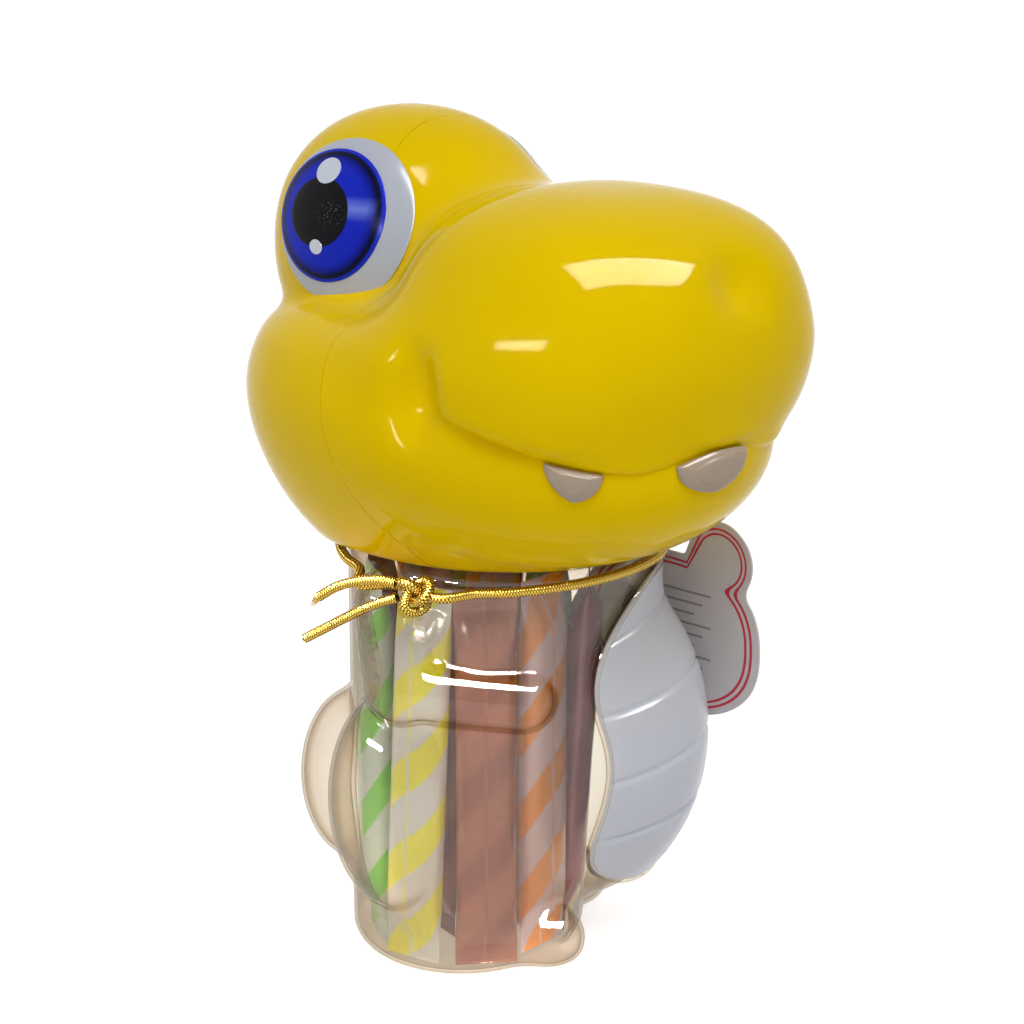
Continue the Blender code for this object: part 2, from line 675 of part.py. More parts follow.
def build_eye_disc(name, axis, half_width, half_height, stand_off, thickness, material, parent):
    """Thin disc that follows the eye lobe round an axis."""
    skins = []
    for share in EYE_RING_SHARES:
        ring = spread(axis, half_width * share, half_height * share, EYE_SIDES)
        skins.append(cast(eye_bed, EYE_LOBE_CENTRE, ring, HEAD_REACH))
    centre = cast(eye_bed, EYE_LOBE_CENTRE, axis[None], HEAD_REACH)[0]
    thicknesses = [thickness] * (len(EYE_RING_SHARES) - 1) + [thickness * EYE_EDGE_SHARE]
    return solid(name, dome(eye_bed, skins, centre, stand_off, thicknesses), material, parent)


def build_tooth(name, facing, width, drop, material, parent):
    """Blunt tooth lying on the jaw, hanging from the lip's edge and facing one way."""
    across = np.array([-facing[1], facing[0], 0])
    turns = turn_angles(TOOTH_SIDES)
    downward = np.maximum(-np.sin(turns), 0)
    fullness = np.where(downward > 0, TOOTH_TIP_POWER, 1.0)
    sideways = np.sign(np.cos(turns)) * np.abs(np.cos(turns)) ** fullness * width / 2
    core = facing * TOOTH_CORE + sideways[:, None] * across
    at_lip = cast(head_form, core + UP * LIP_HEIGHT, facing, HEAD_REACH)
    top = lip_height(at_lip[:, 1]) - TOOTH_TUCK
    outline = core + UP * (top - drop * downward)[:, None]
    middle = facing * TOOTH_CORE + UP * (top.mean() - TOOTH_MIDDLE_SHARE * drop)
    skins = []
    for share in TOOTH_RING_SHARES:
        skins.append(cast(head_form, middle + (outline - middle) * share, facing, HEAD_REACH))
    centre = cast(head_form, middle[None], facing, HEAD_REACH)[0]
    thicknesses = [TOOTH_THICKNESS, TOOTH_SHOULDER, TOOTH_EDGE]
    return solid(name, dome(head_form, skins, centre, 2 * GAP, thicknesses), material, parent)


def tag_axes():
    """Unit vectors of the tag: along its hinge towards the front, and out from the jar."""
    along = np.array([-math.cos(TAG_TURN), -math.sin(TAG_TURN), 0])
    out = np.array([math.sin(TAG_TURN), -math.cos(TAG_TURN), 0])
    return along, out


def tag_hinge():
    """Middle of the tag's hole: the card clears the cord that lies on the jar behind it."""
    along, out = tag_axes()
    cord_orbit = JAR_RADIUS + CORD_RADIUS + CORD_STAND_OFF
    offset = cord_orbit + CORD_RADIUS + GAP + TAG_THICKNESS
    return along * TAG_SETBACK + out * offset + UP * (CORD_HEIGHT - TAG_SAG)


def knot_frame():
    """The knot's middle, against the jar's shoulder, and its backward and outward directions."""
    out = np.array([math.cos(KNOT_TURN), math.sin(KNOT_TURN), 0])
    back = np.array([math.sin(KNOT_TURN), -math.cos(KNOT_TURN), 0])
    axis = UP * (CORD_HEIGHT - KNOT_SAG)
    middle = cast(jar_form, axis, out[None], 2 * JAR_RADIUS, -(KNOT_RADIUS + GAP))[0]
    return middle, back, out


def turn_between(first, second):
    """Smallest turn between two directions."""
    return abs((first - second + math.pi) % (2 * math.pi) - math.pi)


def cord_height(turn):
    """The cord droops to its knot and to the tag."""
    to_knot = turn_between(turn, KNOT_TURN) / KNOT_SAG_SPREAD
    to_tag = turn_between(turn, TAG_TURN - math.pi / 2) / TAG_SAG_SPREAD
    return CORD_HEIGHT - KNOT_SAG * math.exp(-to_knot**2) - TAG_SAG * math.exp(-to_tag**2)


def cord_on_jar(start, end):
    """Points of the cord's middle where it lies on the jar, between two turns."""
    points = []
    for turn in np.linspace(start, end, math.ceil((end - start) / CORD_STEP) + 1):
        direction = np.array([[math.cos(turn), math.sin(turn), 0]])
        axis = UP * cord_height(turn)
        points.append(cast(jar_form, axis, direction, 2 * JAR_RADIUS, -(CORD_RADIUS + CORD_STAND_OFF))[0])
    return points


def smooth_route(points, pieces):
    """Points along a smooth curve through a route's own points."""
    ends = [2 * points[0] - points[1], *points, 2 * points[-1] - points[-2]]
    route = []
    for before, start, end, after in zip(ends, ends[1:], ends[2:], ends[3:]):
        for share in np.arange(pieces) / pieces:
            bend = 2 * start - 2 * end + (end - before) / 2 + (after - start) / 2
            lift = 3 * (end - start) - (end - before) - (after - start) / 2
            route.append(start + share * (end - before) / 2 + share**2 * lift + share**3 * bend)
    return route + [points[-1]]


def tube(name, route, radius, material):
    """Round cord along a route, with flat ends."""
    curve = bpy.data.curves.new(name, "CURVE")
    curve.dimensions = "3D"
    curve.bevel_depth = radius
    curve.bevel_resolution = CORD_SIDES
    curve.use_fill_caps = True
    spline = curve.splines.new("POLY")
    spline.points.add(len(route) - 1)
    for point, place_at in zip(spline.points, route):
        point.co = (*place_at, 1)
    return place(name, curve, material)


def build_neck_cord(material):
    """Cord from one side of the knot, round the shoulder and through the tag, to the knot's other side."""
    along, out = tag_axes()
    hinge = tag_hinge()
    thread = [hinge + along * ahead + out * off for ahead, off in THREAD_OFFSETS]
    knot, back, off_jar = knot_frame()
    end = KNOT_RADIUS + KNOT_BLEND
    entry = knot - off_jar * CORD_RETURN_INSET + UP * CORD_RETURN_RISE
    first = [knot - back * end, knot - back * (end + 2 * CORD_RADIUS)]
    last = [entry + back * (end + 2 * CORD_RADIUS), entry + back * end]
    tag = TAG_TURN - math.pi / 2 + 2 * math.pi
    to_tag = cord_on_jar(KNOT_TURN + KNOT_SPAN, tag - THREAD_LEAVES)
    from_tag = cord_on_jar(tag - THREAD_RETURNS, KNOT_TURN + 2 * math.pi - KNOT_SPAN)
    route = smooth_route(first + to_tag + thread + from_tag + last, 2)
    return tube("neck_cord", route, CORD_RADIUS, material)


def ring_form(points, axis, ring_radius, cord_radius):
    """Distance to a ring of cord round an axis."""
    along = points @ axis
    away = np.linalg.norm(points - along[..., None] * axis, axis=-1)
    return np.hypot(away - ring_radius, along) - cord_radius


def knot_form(points):
    """Three turns of cord drawn tight over each other."""
    ring_radius = KNOT_RADIUS - KNOT_CORD_RADIUS
    form = np.linalg.norm(points, axis=-1) - ring_radius
    for lean in KNOT_TURN_LEANS:
        axis = np.array([math.sin(lean), *(math.cos(lean) * KNOT_PLANE)])
        form = blend(form, ring_form(points, axis, ring_radius, KNOT_CORD_RADIUS), KNOT_BLEND)
    return form


def build_knot(material):
    """The knot, a lump of tight turns."""
    middle, _, _ = knot_frame()
    core = np.zeros(3)
    rows = []
    for lean in np.linspace(0, math.pi, KNOT_ROWS)[1:-1]:
        ring = level_directions(KNOT_SIDES) * math.sin(lean) + UP * math.cos(lean)
        rows.append(cast(knot_form, core, ring, 2 * KNOT_RADIUS))
    poles = cast(knot_form, core, np.stack([UP, -UP]), 2 * KNOT_RADIUS)
    piece = solid("cord_knot", loft(rows, poles), material)
    piece.location = middle
    return piece


def build_cord_end(name, offsets, material):
    """Loose end of the cord, by its own points from the knot's middle: back, out and up."""
    middle, back, out = knot_frame()
    points = [middle + back * a + out * b + UP * c for a, b, c in offsets]
    return tube(name, smooth_route(points, 2), CORD_RADIUS, material)


def tag_form(points):
    """Distance to the card's outline in its own plane: a tab, a broad body and a lobe beside it."""
    flat = points[..., [0, 2]]
    body = squared_ellipsoid(flat, TAG_BODY_CENTRE, TAG_BODY_HALF, TAG_BODY_SQUARENESS)
    lobe = np.linalg.norm(flat - TAG_LOBE_CENTRE, axis=-1) - TAG_LOBE_RADIUS
    tab = capsule(flat, np.zeros(2), TAG_TAB_FOOT, TAG_TAB_RADIUS, TAG_TAB_RADIUS)
    return blend(blend(body, lobe, TAG_BLEND), tab, TAG_BLEND)


def build_tag(material, parent):
    """Flat card with a hole for the cord."""
    turn = turn_angles(TAG_SIDES)
    directions = np.stack([np.cos(turn), 0 * turn, np.sin(turn)], axis=-1)
    middle = np.array([TAG_BODY_CENTRE[0], 0, TAG_BODY_CENTRE[1] + TAG_BODY_HALF[1] / 3])
    outline = cast(tag_form, middle, directions, 3 * TAG_BODY_HALF[0])
    hole = directions[::3] * TAG_HOLE_RADIUS
    face = np.array([0, -TAG_THICKNESS / 2, 0])
    bm = bmesh.new()
    edges = []
    for ring in (outline + face, hole + face):
        corners = [bm.verts.new(point) for point in ring]
        edges += [bm.edges.new((a, b)) for a, b in zip(corners, corners[1:] + corners[:1])]
    bmesh.ops.triangle_fill(bm, edges=edges, use_beauty=True, normal=(0, 1, 0))
    raised = bmesh.ops.extrude_face_region(bm, geom=bm.faces[:])["geom"]
    moved = [part for part in raised if isinstance(part, bmesh.types.BMVert)]
    bmesh.ops.translate(bm, verts=moved, vec=(0, TAG_THICKNESS, 0))
    piece = solid("hang_tag", bm, material, parent)
    piece.rotation_euler = (TAG_LEAN, 0, 0)
    return piece


def stick_sections():
    """Height, half width and half depth of a stick's sections, from its lower crimp to its upper one."""
    crimp = (STICK_HALF_WIDTH + STICK_CRIMP_HALF_DEPTH, STICK_CRIMP_HALF_DEPTH)
    full = (STICK_HALF_WIDTH - STICK_CRIMP_HALF_DEPTH, STICK_HALF_DEPTH)
    lower = [(0.0, *crimp), (STICK_CRIMP_LENGTH, *crimp), (STICK_CRIMP_LENGTH + STICK_SHOULDER, *full)]
    return lower + [(STICK_LENGTH - height, *half) for height, *half in lower[::-1]]


def stick_rows(turn, reach):
    """Rings of a stick that faces outward at a turn, this far from the ring's middle."""
    out = np.array([math.cos(turn), math.sin(turn), 0])
    along = np.array([-out[1], out[0], 0])
    foot = np.array([0, STICK_RING_Y, JAR_WALL + GAP]) + out * reach
    around = turn_angles(STICK_SIDES)[:, None]
    rows = []
    for height, half_width, half_depth in stick_sections():
        ring = foot + half_width * np.cos(around) * along + half_depth * np.sin(around) * out
        rows.append(ring + UP * height)
    return rows


def fits_inside(rows):
    """Whether a stick's rings clear the inside of the jar and its neck."""
    points = np.concatenate(rows)
    low = np.array([round_inset(BASE_ROUND - JAR_WALL, z - JAR_WALL) for z in points[:, 2]])
    wall = jar_form(points) + JAR_WALL + STICK_CLEARANCE + low
    neck = np.hypot(points[:, 0], points[:, 1]) - (NECK_RADIUS - JAR_WALL - STICK_CLEARANCE)
    return np.all(np.where(points[:, 2] < JAR_HEIGHT - SHOULDER_ROUND, wall, neck) < 0)


def stick_reach(turn):
    """How far out a stick can stand before it meets the jar's wall."""
    near = 0.0
    far = 2 * JAR_RADIUS
    for _ in range(CAST_HALVINGS):
        middle = (near + far) / 2
        levels = np.linspace(0, 1, STICK_TESTS)
        rows = stick_rows(turn, middle)
        between = [a + (b - a) * share for a, b in zip(rows, rows[1:]) for share in levels]
        near, far = (middle, far) if fits_inside(between) else (near, middle)
    return near


def build_sticks(materials):
    """Wrapped candy sticks: a ring along the wall and a few in the middle."""
    places = []
    for i in range(OUTER_STICKS):
        turn = STICK_RING_START + i * 2 * math.pi / OUTER_STICKS
        places.append((turn, stick_reach(turn)))
    for i in range(INNER_STICKS):
        places.append((STICK_RING_START + (i + 0.5) * 2 * math.pi / INNER_STICKS, INNER_RING_RADIUS))
    for number, (turn, reach) in enumerate(places, start=1):
        rows = stick_rows(turn, reach)
        poles = [rows[0].mean(axis=0), rows[-1].mean(axis=0)]
        solid(f"candy_stick_{number:02d}", loft(rows, poles), materials[(number + 1) % len(materials)])


def joint_empty(name, location, rotation):
    """An empty on a joint's axis, which carries the pieces that move on it."""
    empty = bpy.data.objects.new(name, None)
    empty.location = location
    empty.rotation_euler = rotation
    bpy.context.scene.collection.objects.link(empty)
    return empty


def build_head():
    """The lid: shells, cap, eyes and teeth, turned on the neck."""
    skin = plastic("head_plastic", (0.78, 0.52, 0.0), 0.12)
    white = plastic("eye_plastic", (0.85, 0.86, 0.88), 0.2)
    foil = plastic("iris_foil", (0.03, 0.06, 0.5), 0.25, metallic=0.6)
    enamel = plastic("tooth_plastic", (0.72, 0.68, 0.62), 0.25)
    axis = joint_empty("head_axis", (0, 0, RIM_HEIGHT), (0, 0, HEAD_TURN))
    build_head_shell("head_front_shell", -1, skin, axis)
    build_head_shell("head_back_shell", 1, skin, axis)
    build_cap(plastic("cap_plastic", (0.8, 0.8, 0.8), 0.4), axis)
    eye_seat = 2 * GAP
    iris_seat = eye_seat + EYE_THICKNESS + 2.5 * GAP
    for hand, side in (("right", -1), ("left", 1)):
        gaze = look(EYE_TURN, EYE_RAISE, side)
        eye = (EYE_HALF_WIDTH, EYE_HALF_HEIGHT, eye_seat, EYE_THICKNESS)
        build_eye_disc(f"eye_{hand}", gaze, *eye, white, axis)
        gaze = look(IRIS_TURN, IRIS_RAISE, side)
        iris = (IRIS_HALF_WIDTH, IRIS_HALF_HEIGHT, iris_seat, IRIS_THICKNESS)
        build_eye_disc(f"iris_{hand}", gaze, *iris, foil, axis)
        facing = look(SIDE_TOOTH_TURN, 0.0, side)
        build_tooth(f"side_tooth_{hand}", facing, SIDE_TOOTH_WIDTH, SIDE_TOOTH_DROP, enamel, axis)
    facing = look(FRONT_TOOTH_TURN, 0.0, -1)
    build_tooth("front_tooth", facing, FRONT_TOOTH_WIDTH, FRONT_TOOTH_DROP, enamel, axis)


def build_cord_and_tag():
    """Elastic cord with its knot and loose ends, and the card that hangs on it."""
    gold = plastic("gold_cord", (0.62, 0.42, 0.08), 0.3, metallic=1.0)
    build_neck_cord(gold)
    build_knot(gold)
    build_cord_end("cord_end_upper", UPPER_END_OFFSETS, gold)
    build_cord_end("cord_end_lower", LOWER_END_OFFSETS, gold)
    along, _ = tag_axes()
    hinge = joint_empty("tag_hinge", tag_hinge(), (0, 0, math.atan2(along[1], along[0])))
    build_tag(plastic("tag_card", (0.82, 0.8, 0.79), 0.6), hinge)


def main():
    """Build every piece at rest."""
    for piece in list(bpy.data.objects):
        bpy.data.objects.remove(piece)
    build_jar(plastic("clear_plastic", (0.9, 0.93, 0.93), 0.05, transmission=0.9))
    build_belly_plate(plastic("plate_plastic", (0.74, 0.76, 0.8), 0.3))
    build_seal(plastic("seal_foam", (0.85, 0.85, 0.82), 0.8))
    build_head()
    build_cord_and_tag()
    flavours = [
        ("apple", (0.25, 0.62, 0.12)),
        ("lemon", (0.85, 0.75, 0.08)),
        ("cola", (0.36, 0.12, 0.05)),
        ("orange", (0.9, 0.35, 0.06)),
        ("grape", (0.35, 0.07, 0.14)),
    ]
    build_sticks([plastic(f"{name}_film", colour, 0.3) for name, colour in flavours])


main()
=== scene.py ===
"""Looks of the candy jar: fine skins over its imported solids, printed and moulded detail, light and camera.

Units are metres, +Z is up and the jar's belly faces -Y. Each form lies where its solid does, and most
have its size.
"""

import json
import math

import bmesh
import bpy
import numpy as np
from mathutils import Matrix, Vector

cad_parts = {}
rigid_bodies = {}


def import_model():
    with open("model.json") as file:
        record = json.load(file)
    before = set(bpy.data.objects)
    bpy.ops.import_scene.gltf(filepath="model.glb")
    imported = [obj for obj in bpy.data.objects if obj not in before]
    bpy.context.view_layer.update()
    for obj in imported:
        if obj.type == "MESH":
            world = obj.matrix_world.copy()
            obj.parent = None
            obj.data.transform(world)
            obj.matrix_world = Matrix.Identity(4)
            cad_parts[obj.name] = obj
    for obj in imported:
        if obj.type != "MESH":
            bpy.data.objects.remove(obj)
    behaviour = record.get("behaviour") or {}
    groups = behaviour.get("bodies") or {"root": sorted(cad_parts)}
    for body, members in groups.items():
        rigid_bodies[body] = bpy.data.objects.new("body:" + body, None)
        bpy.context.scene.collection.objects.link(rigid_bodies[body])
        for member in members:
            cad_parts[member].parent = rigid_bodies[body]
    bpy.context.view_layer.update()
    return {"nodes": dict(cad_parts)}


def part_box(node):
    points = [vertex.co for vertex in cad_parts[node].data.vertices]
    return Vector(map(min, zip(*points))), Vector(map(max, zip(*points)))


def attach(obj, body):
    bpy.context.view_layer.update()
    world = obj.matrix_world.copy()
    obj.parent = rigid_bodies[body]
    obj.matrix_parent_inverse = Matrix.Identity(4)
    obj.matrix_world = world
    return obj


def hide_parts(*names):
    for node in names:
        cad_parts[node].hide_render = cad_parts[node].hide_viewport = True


MM = 0.001
UP = np.array([0, 0, 1.0])
NEARLY_UP = UP + 0.01
BLACK = (0, 0, 0)
WHITE = (1, 1, 1)


def mm(*values):
    """A length, a place or a set of half sizes, written in millimetres."""
    lengths = np.array(values, dtype=float) * MM
    return lengths if len(values) > 1 else lengths[0]


# Fits
GAP = mm(0.3)
LID_GAP = mm(0.8)

# Jar walls and neck
JAR_HEIGHT = mm(157)
JAR_RADIUS = mm(56.5)
JAR_BACK = mm(57)
JAR_WALL = mm(1.2)
BASE_HALF_WIDTH = mm(50.5)
BASE_FRONT = mm(30)
JAR_AXIS_Y = mm(8)
BASE_ROUND = mm(6)
SHOULDER_ROUND = mm(5)
NECK_RADIUS = mm(46)
NECK_HEIGHT = mm(25)
NECK_LIP = mm(0.5)
RIM_HEIGHT = JAR_HEIGHT + LID_GAP
NECK_TOP = JAR_HEIGHT + NECK_HEIGHT

# Body forms of the jar, by centre and half sizes: they lie to the creature's left and are mirrored
FLARE_HEIGHT = mm(150)
BELLY = mm(0, -22, 82), mm(46, 52.5, 66)
THIGH = mm(41, 31, 66), mm(25, 26, 43)
TAIL = mm(0, 57, 58), mm(20, 21, 34)
HEEL = mm(30, 22, 10)
TOE = mm(28, -22, 9)
HEEL_RADIUS = mm(14)
TOE_RADIUS = mm(13.5)
ARM_SHOULDER = mm(46, 32, 142)
ARM_ELBOW = mm(54, 27, 113)
ARM_HAND = mm(50, -16, 110)
UPPER_ARM_RADIUS = mm(13.5)
FOREARM_RADIUS = mm(12)
BELLY_BLEND = mm(8)
LIMB_BLEND = mm(3.5)
TAIL_BLEND = mm(9)
ARM_BLEND = mm(2)

# Belly plate
PLATE_CENTRE_Z = mm(90)
PLATE_HALF_HEIGHT = mm(59)
PLATE_HALF_WIDTH = mm(41)
PLATE_TOP_SQUARENESS = 3.2
PLATE_FOOT_SQUARENESS = 2.7
PLATE_SAG = mm(8)
PLATE_THICKNESS = mm(1.4)
PLATE_EDGE = mm(0.5)
PLATE_EDGE_ROUND = mm(3)
PLATE_SEAT = mm(1)
PLATE_END_SHARE = 0.99
GROOVE_COUNT = 4
GROOVE_TOP = mm(43)
GROOVE_PITCH = mm(24)
GROOVE_HALF_WIDTH = mm(1.1)
GROOVE_DEPTH = mm(1.1)
FLANGE_RADIUS = mm(1.5)

# Head, in its own frame: origin on the neck axis at the rim, nose to -Y
HEAD_TURN = math.radians(-39.5)
HEAD_WALL = mm(2)

# Forms of the head: centre, half sizes and, where its corners are fuller, squareness
EYE_LOBE = mm(0, 49.5, 97.5), mm(46, 60, 52.5), 2.15
JAW = mm(0, -2, 50), mm(82.5, 113, 57.5)
NAPE = mm(0, 20.5, 37), mm(73, 71.5, 61)
COLLAR = mm(0, 0, 20), mm(59, 59, 45)
SNOUT = mm(0, -54, 91.3), mm(63, 64.3, 41), 2.45
MUZZLE = mm(0, -50, 71), mm(72, 62, 39.5), 2.4
DIMPLE = mm(78, -42, 69), mm(9, 5, 12)
NOSE_DIMPLE = mm(4, -122, 110), mm(11, 11, 11)

# Jaw, lip, fillets and seam of the head
JAW_TOP = mm(83)
JAW_TOP_ROUND = mm(14)
COLLAR_BLEND = mm(6)
LIP_HEIGHT = mm(47)
LIP_LOWEST_Y = mm(-103)
LIP_CORNER_HEIGHT = mm(65.3)
LIP_CORNER_Y = mm(-46)
LIP_NOSE_Y = mm(-112)
LIP_BOW = mm(6)
LIP_CORNER_POWER = 1.25
LIP_ROUND = mm(9)
LIP_CREASE = mm(3)
BROW_CREASE = mm(18)
LIP_STEP = mm(3.5)
LIP_CURL = mm(5)
LIP_FADE = mm(18)
LIP_CORNER_FADE = mm(22)
CHEEK_BLEND = mm(18)
CHEEK_BLEND_FROM = mm(52)
CHEEK_BLEND_TO = mm(78)
BROW_BLEND_FROM = mm(80)
BROW_BLEND_TO = mm(102)
NAPE_BLEND = mm(12)
LOBE_BLEND = mm(5)
SNOUT_BLEND = mm(12)
NOSE_DIMPLE_BLEND = mm(9)
DIMPLE_BLEND = mm(13)
SEAM_LEAN = 0.34
SEAM_Y = mm(-20)
HEAD_CORE = mm(0, -5, 68)
RIM_CORE = mm(0, 5.2, 0)
HEAD_REACH = 2 * JAW[1][1]
LIP_CURL_TILT = math.radians(4.5)
LOWER_ROW_POWER = 1.3
SEAM_WELD = 1e-7

# Discs of the eyes: turn from the nose, rise, half width, half height, seat on the dome and thickness
EYE_DISC = (*np.radians((81.2, 19.6, 39.9, 36.7)), 0.3 * MM, 0.9 * MM)
IRIS_DISC = (*np.radians((85.9, 21, 33.4, 28.9)), 1.3 * MM, 0.5 * MM)
PUPIL_DISC = (*np.radians((89.4, 21.7, 19, 14.8)), 1.85 * MM, 0.15 * MM)
GLINT_DISCS = (
    (*np.radians((89.7, 39.4, 7.3, 5.6)), 1.95 * MM, 0.15 * MM),
    (*np.radians((87.2, 7.2, 4.4, 3.2)), 1.95 * MM, 0.15 * MM),
)
DISC_FIRST_RING = 0.02
DISC_EDGE = 0.35
DISC_FLATNESS = 12
# Painted sheen on the iris foil: slope, rise, half width and strength of its pale streak
IRIS_SHEEN_SLOPE = 0.12
IRIS_SHEEN_RISE = 0.05
IRIS_SHEEN_HALF_WIDTH = 0.09
IRIS_SHEEN_STRENGTH = 0.75
# Place on the pupil's print where its painted sparkle of reflected light is brightest
PUPIL_SHEEN_PLACE = (0.74, 0.52, 0)

# Teeth under the lip: side, turn from the nose, width and drop of each
TEETH = {
    "side_tooth_right": (-1, math.radians(27.3), mm(18.5), mm(10.5)),
    "side_tooth_left": (1, math.radians(36), mm(18.5), mm(10.5)),
    "front_tooth": (-1, math.radians(2), mm(29), mm(13.5)),
}
TOOTH_SEAT = mm(0.6)
TOOTH_THICKNESS = mm(3)
TOOTH_EDGE = mm(0.6)
TOOTH_TUCK = mm(0.8)
TOOTH_CORE = mm(29)
TOOTH_MIDDLE_SHARE = 0.35
TOOTH_TIP_POWER = 1.35
TOOTH_PANEL_SHARE = 0.62
TOOTH_PANEL_STEP = mm(0.35)
TOOTH_PANEL_EDGE = 0.06
TOOTH_FIRST_RING = 0.05
TOOTH_FLATNESS = 5

# Cord and its knot
CORD_RADIUS = mm(1.9)
CORD_HEIGHT = mm(154)
CORD_STAND_OFF = mm(0.9)
CORD_STEP = math.radians(11)
CORD_RETURN_INSET = mm(2.9)
CORD_RETURN_RISE = mm(1)
KNOT_TURN = math.radians(162)
KNOT_RADIUS = mm(7)
KNOT_BLEND = mm(0.8)
KNOT_FULLNESS = 1.3
KNOT_WEAVE = mm(2.8)
KNOT_SPAN = math.radians(19)
KNOT_SAG = mm(3.2)
KNOT_SAG_SPREAD = math.radians(45)
TAG_SAG = mm(3.5)
TAG_SAG_SPREAD = math.radians(35)
BRAID_PITCH = mm(5)
BRAID_STRANDS = 5
BRAID_DEPTH = 0.22
BRAID_STEP = mm(0.25)

# Loose ends of the cord: points back, out and up from the knot's middle, and their frayed threads
UPPER_END = mm((7.4, 1, 3.2), (14, 2.2, 3.6), (22, 3.2, 2.2), (29.5, 4.2, -0.6), (36.5, 5, -5.2))
LOWER_END = mm((7, 0.5, -2.2), (13, 1, -4.6), (21.5, 2.2, -8.8), (31.5, 3.8, -14.8), (42.5, 5, -21.5))
UPPER_FRAY = mm(5)
LOWER_FRAY = mm(2)
FRAY_THREADS = 14
FRAY_RADIUS = mm(0.28)
FRAY_TAPER = 1.2
FRAY_SHORTEST = 0.6
FRAY_DROOP = 0.35
FRAY_SPREAD = 0.75
FRAY_CLOSING = 0.35
FRAY_SHADE = 0.7

# Card tag: its face is square to a line this far round from the front, to the left
TAG_TURN = math.radians(57)
TAG_SETBACK = mm(12)
TAG_THICKNESS = mm(0.8)
TAG_LEAN = math.radians(1.5)
TAG_HOLE_RADIUS = mm(4)
TAG_TAB_RADIUS = mm(6.8)
TAG_BODY = mm(16, -41), mm(43, 32), 2.4
TAG_LOBE_CENTRE = mm(40, -8.5)
TAG_LOBE_RADIUS = mm(15.3)
TAG_BLEND = mm(4)
TAG_TAB_FOOT = mm(5, -22)
TAG_LINE_INSETS = mm(2.4, 4.3)
TAG_LINE_WIDTH = mm(0.9)
PRINT_STAND_OFF = mm(0.03)
RULE_COUNT = 9
RULE_START = mm(14, -24)
RULE_PITCH = mm(4.2)
RULE_WIDTH = mm(0.9)
RULE_HALF_LENGTH = mm(22)
RULE_SHORTENING = mm(4)
THREAD_OFFSETS = mm((18, -1.2), (13, 3.8), (8.5, 5.2), (4.4, 3.6), (0, 0), (-4.4, -3.4))
THREAD_LEAVES = math.radians(49)

# Candy sticks standing in the jar
STICK_LENGTH = mm(145)
STICK_HALF_WIDTH = mm(11.5)
STICK_HALF_DEPTH = mm(6.5)
STICK_CRIMP_LENGTH = mm(8)
STICK_CRIMP_HALF_DEPTH = mm(0.5)
STICK_SHOULDER = mm(9)
STICK_FILL = 1.6
STICK_FOLD = 0.85
CRIMP_PINCH = 0.7
PLEAT_COUNT = 11
PLEAT_DEPTH = 0.16
RIB_PITCH = mm(1.3)
RIB_DEPTH = mm(0.12)
SLACK_RATE = 90
SLACK_DEPTH = 0.03
SAW_HALF_PITCH = mm(1.6)
SAW_DEPTH = mm(0.5)
SAW_REACH = mm(0.4)
OUTER_STICKS = 9
INNER_STICKS = 4
STICK_RING_START = math.radians(-2)
STICK_GIRTH = 2.6 * (STICK_HALF_WIDTH + STICK_HALF_DEPTH)
STICK_LEANS = {5: mm(0, -6, 0), 8: mm(0, -9, 0)}
STRIPE_PERIOD = mm(33)
STRIPE_SLOPE = 2 * STRIPE_PERIOD / STICK_GIRTH
STRIPE_SHARE = 0.46
STRIPE_SHIFT = mm(3)

# Plastics: colour, roughness, depth of waviness, tint of reflections and index of refraction
PLASTICS = {
    "plate_white": ((0.64, 0.66, 0.73), 0.2, 0.1 * MM, WHITE, 1.2),
    "head_yellow": ((0.86, 0.585, 0.0), 0.07, 0.12 * MM, (1, 0.92, 0.55), 1.1),
    "eye_white": ((0.5, 0.53, 0.61), 0.25, 0.05 * MM, WHITE, 1.14),
    "glint_white": ((0.6, 0.66, 0.76), 0.2, 0.02 * MM, WHITE, 1.5),
    "tooth_enamel": ((0.43, 0.34, 0.26), 0.18, 0.08 * MM, WHITE, 1.14),
}

# Wrappers: colour of the ground, colour of the stripes and softness of their edges
FILMS = {
    "apple": ((0.72, 0.86, 0.78), (0.24, 0.78, 0.03), 0.04),
    "lemon": ((0.82, 0.83, 0.82), (0.98, 0.95, 0.0), 0.04),
    "cola": ((0.48, 0.14, 0.06), (0.36, 0.075, 0.03), 0.2),
    "orange": ((0.85, 0.62, 0.68), (1.0, 0.34, 0.01), 0.04),
    "grape": ((0.3, 0.015, 0.05), (0.4, 0.06, 0.1), 0.2),
}

# Card of the tag and its inks
CARDS = {"tag_paper": (0.64, 0.61, 0.62), "tag_red": (0.6, 0.03, 0.06), "tag_grey": (0.3, 0.29, 0.3)}

# Camera: round from the front, above the level, its target, distance and focal length in frame widths
VIEW_AZIMUTH = math.radians(-80)
VIEW_ELEVATION = math.radians(16)
VIEW_TARGET = mm(0.6, -3.2, 164)
VIEW_DISTANCE = 0.95
VIEW_FOCAL = 2595 / 1024
SENSOR_WIDTH = 36

# Light on the floor and from the surroundings
FLOOR_REACH = 6.0
FLOOR_DROP = mm(0.2)
FLOOR_GLOW = 0.7
SKY_STRENGTH = 0.52

# Lamps: place, turns, width, height, power, and whether it lights matte surfaces or shows in gloss alone
LAMPS = {
    "shape": ((-1.0, -0.25, 1.4), (0, -40, 14), 0.8, 0.8, 8.5, True),
    "window": ((-0.45, -0.55, 1.5), (0, 0, -70), 1.9, 0.9, 760, False),
    "strip": ((-1.14, 0.95, 0.76), (0, -68, -40), 0.1, 0.9, 42, False),
}

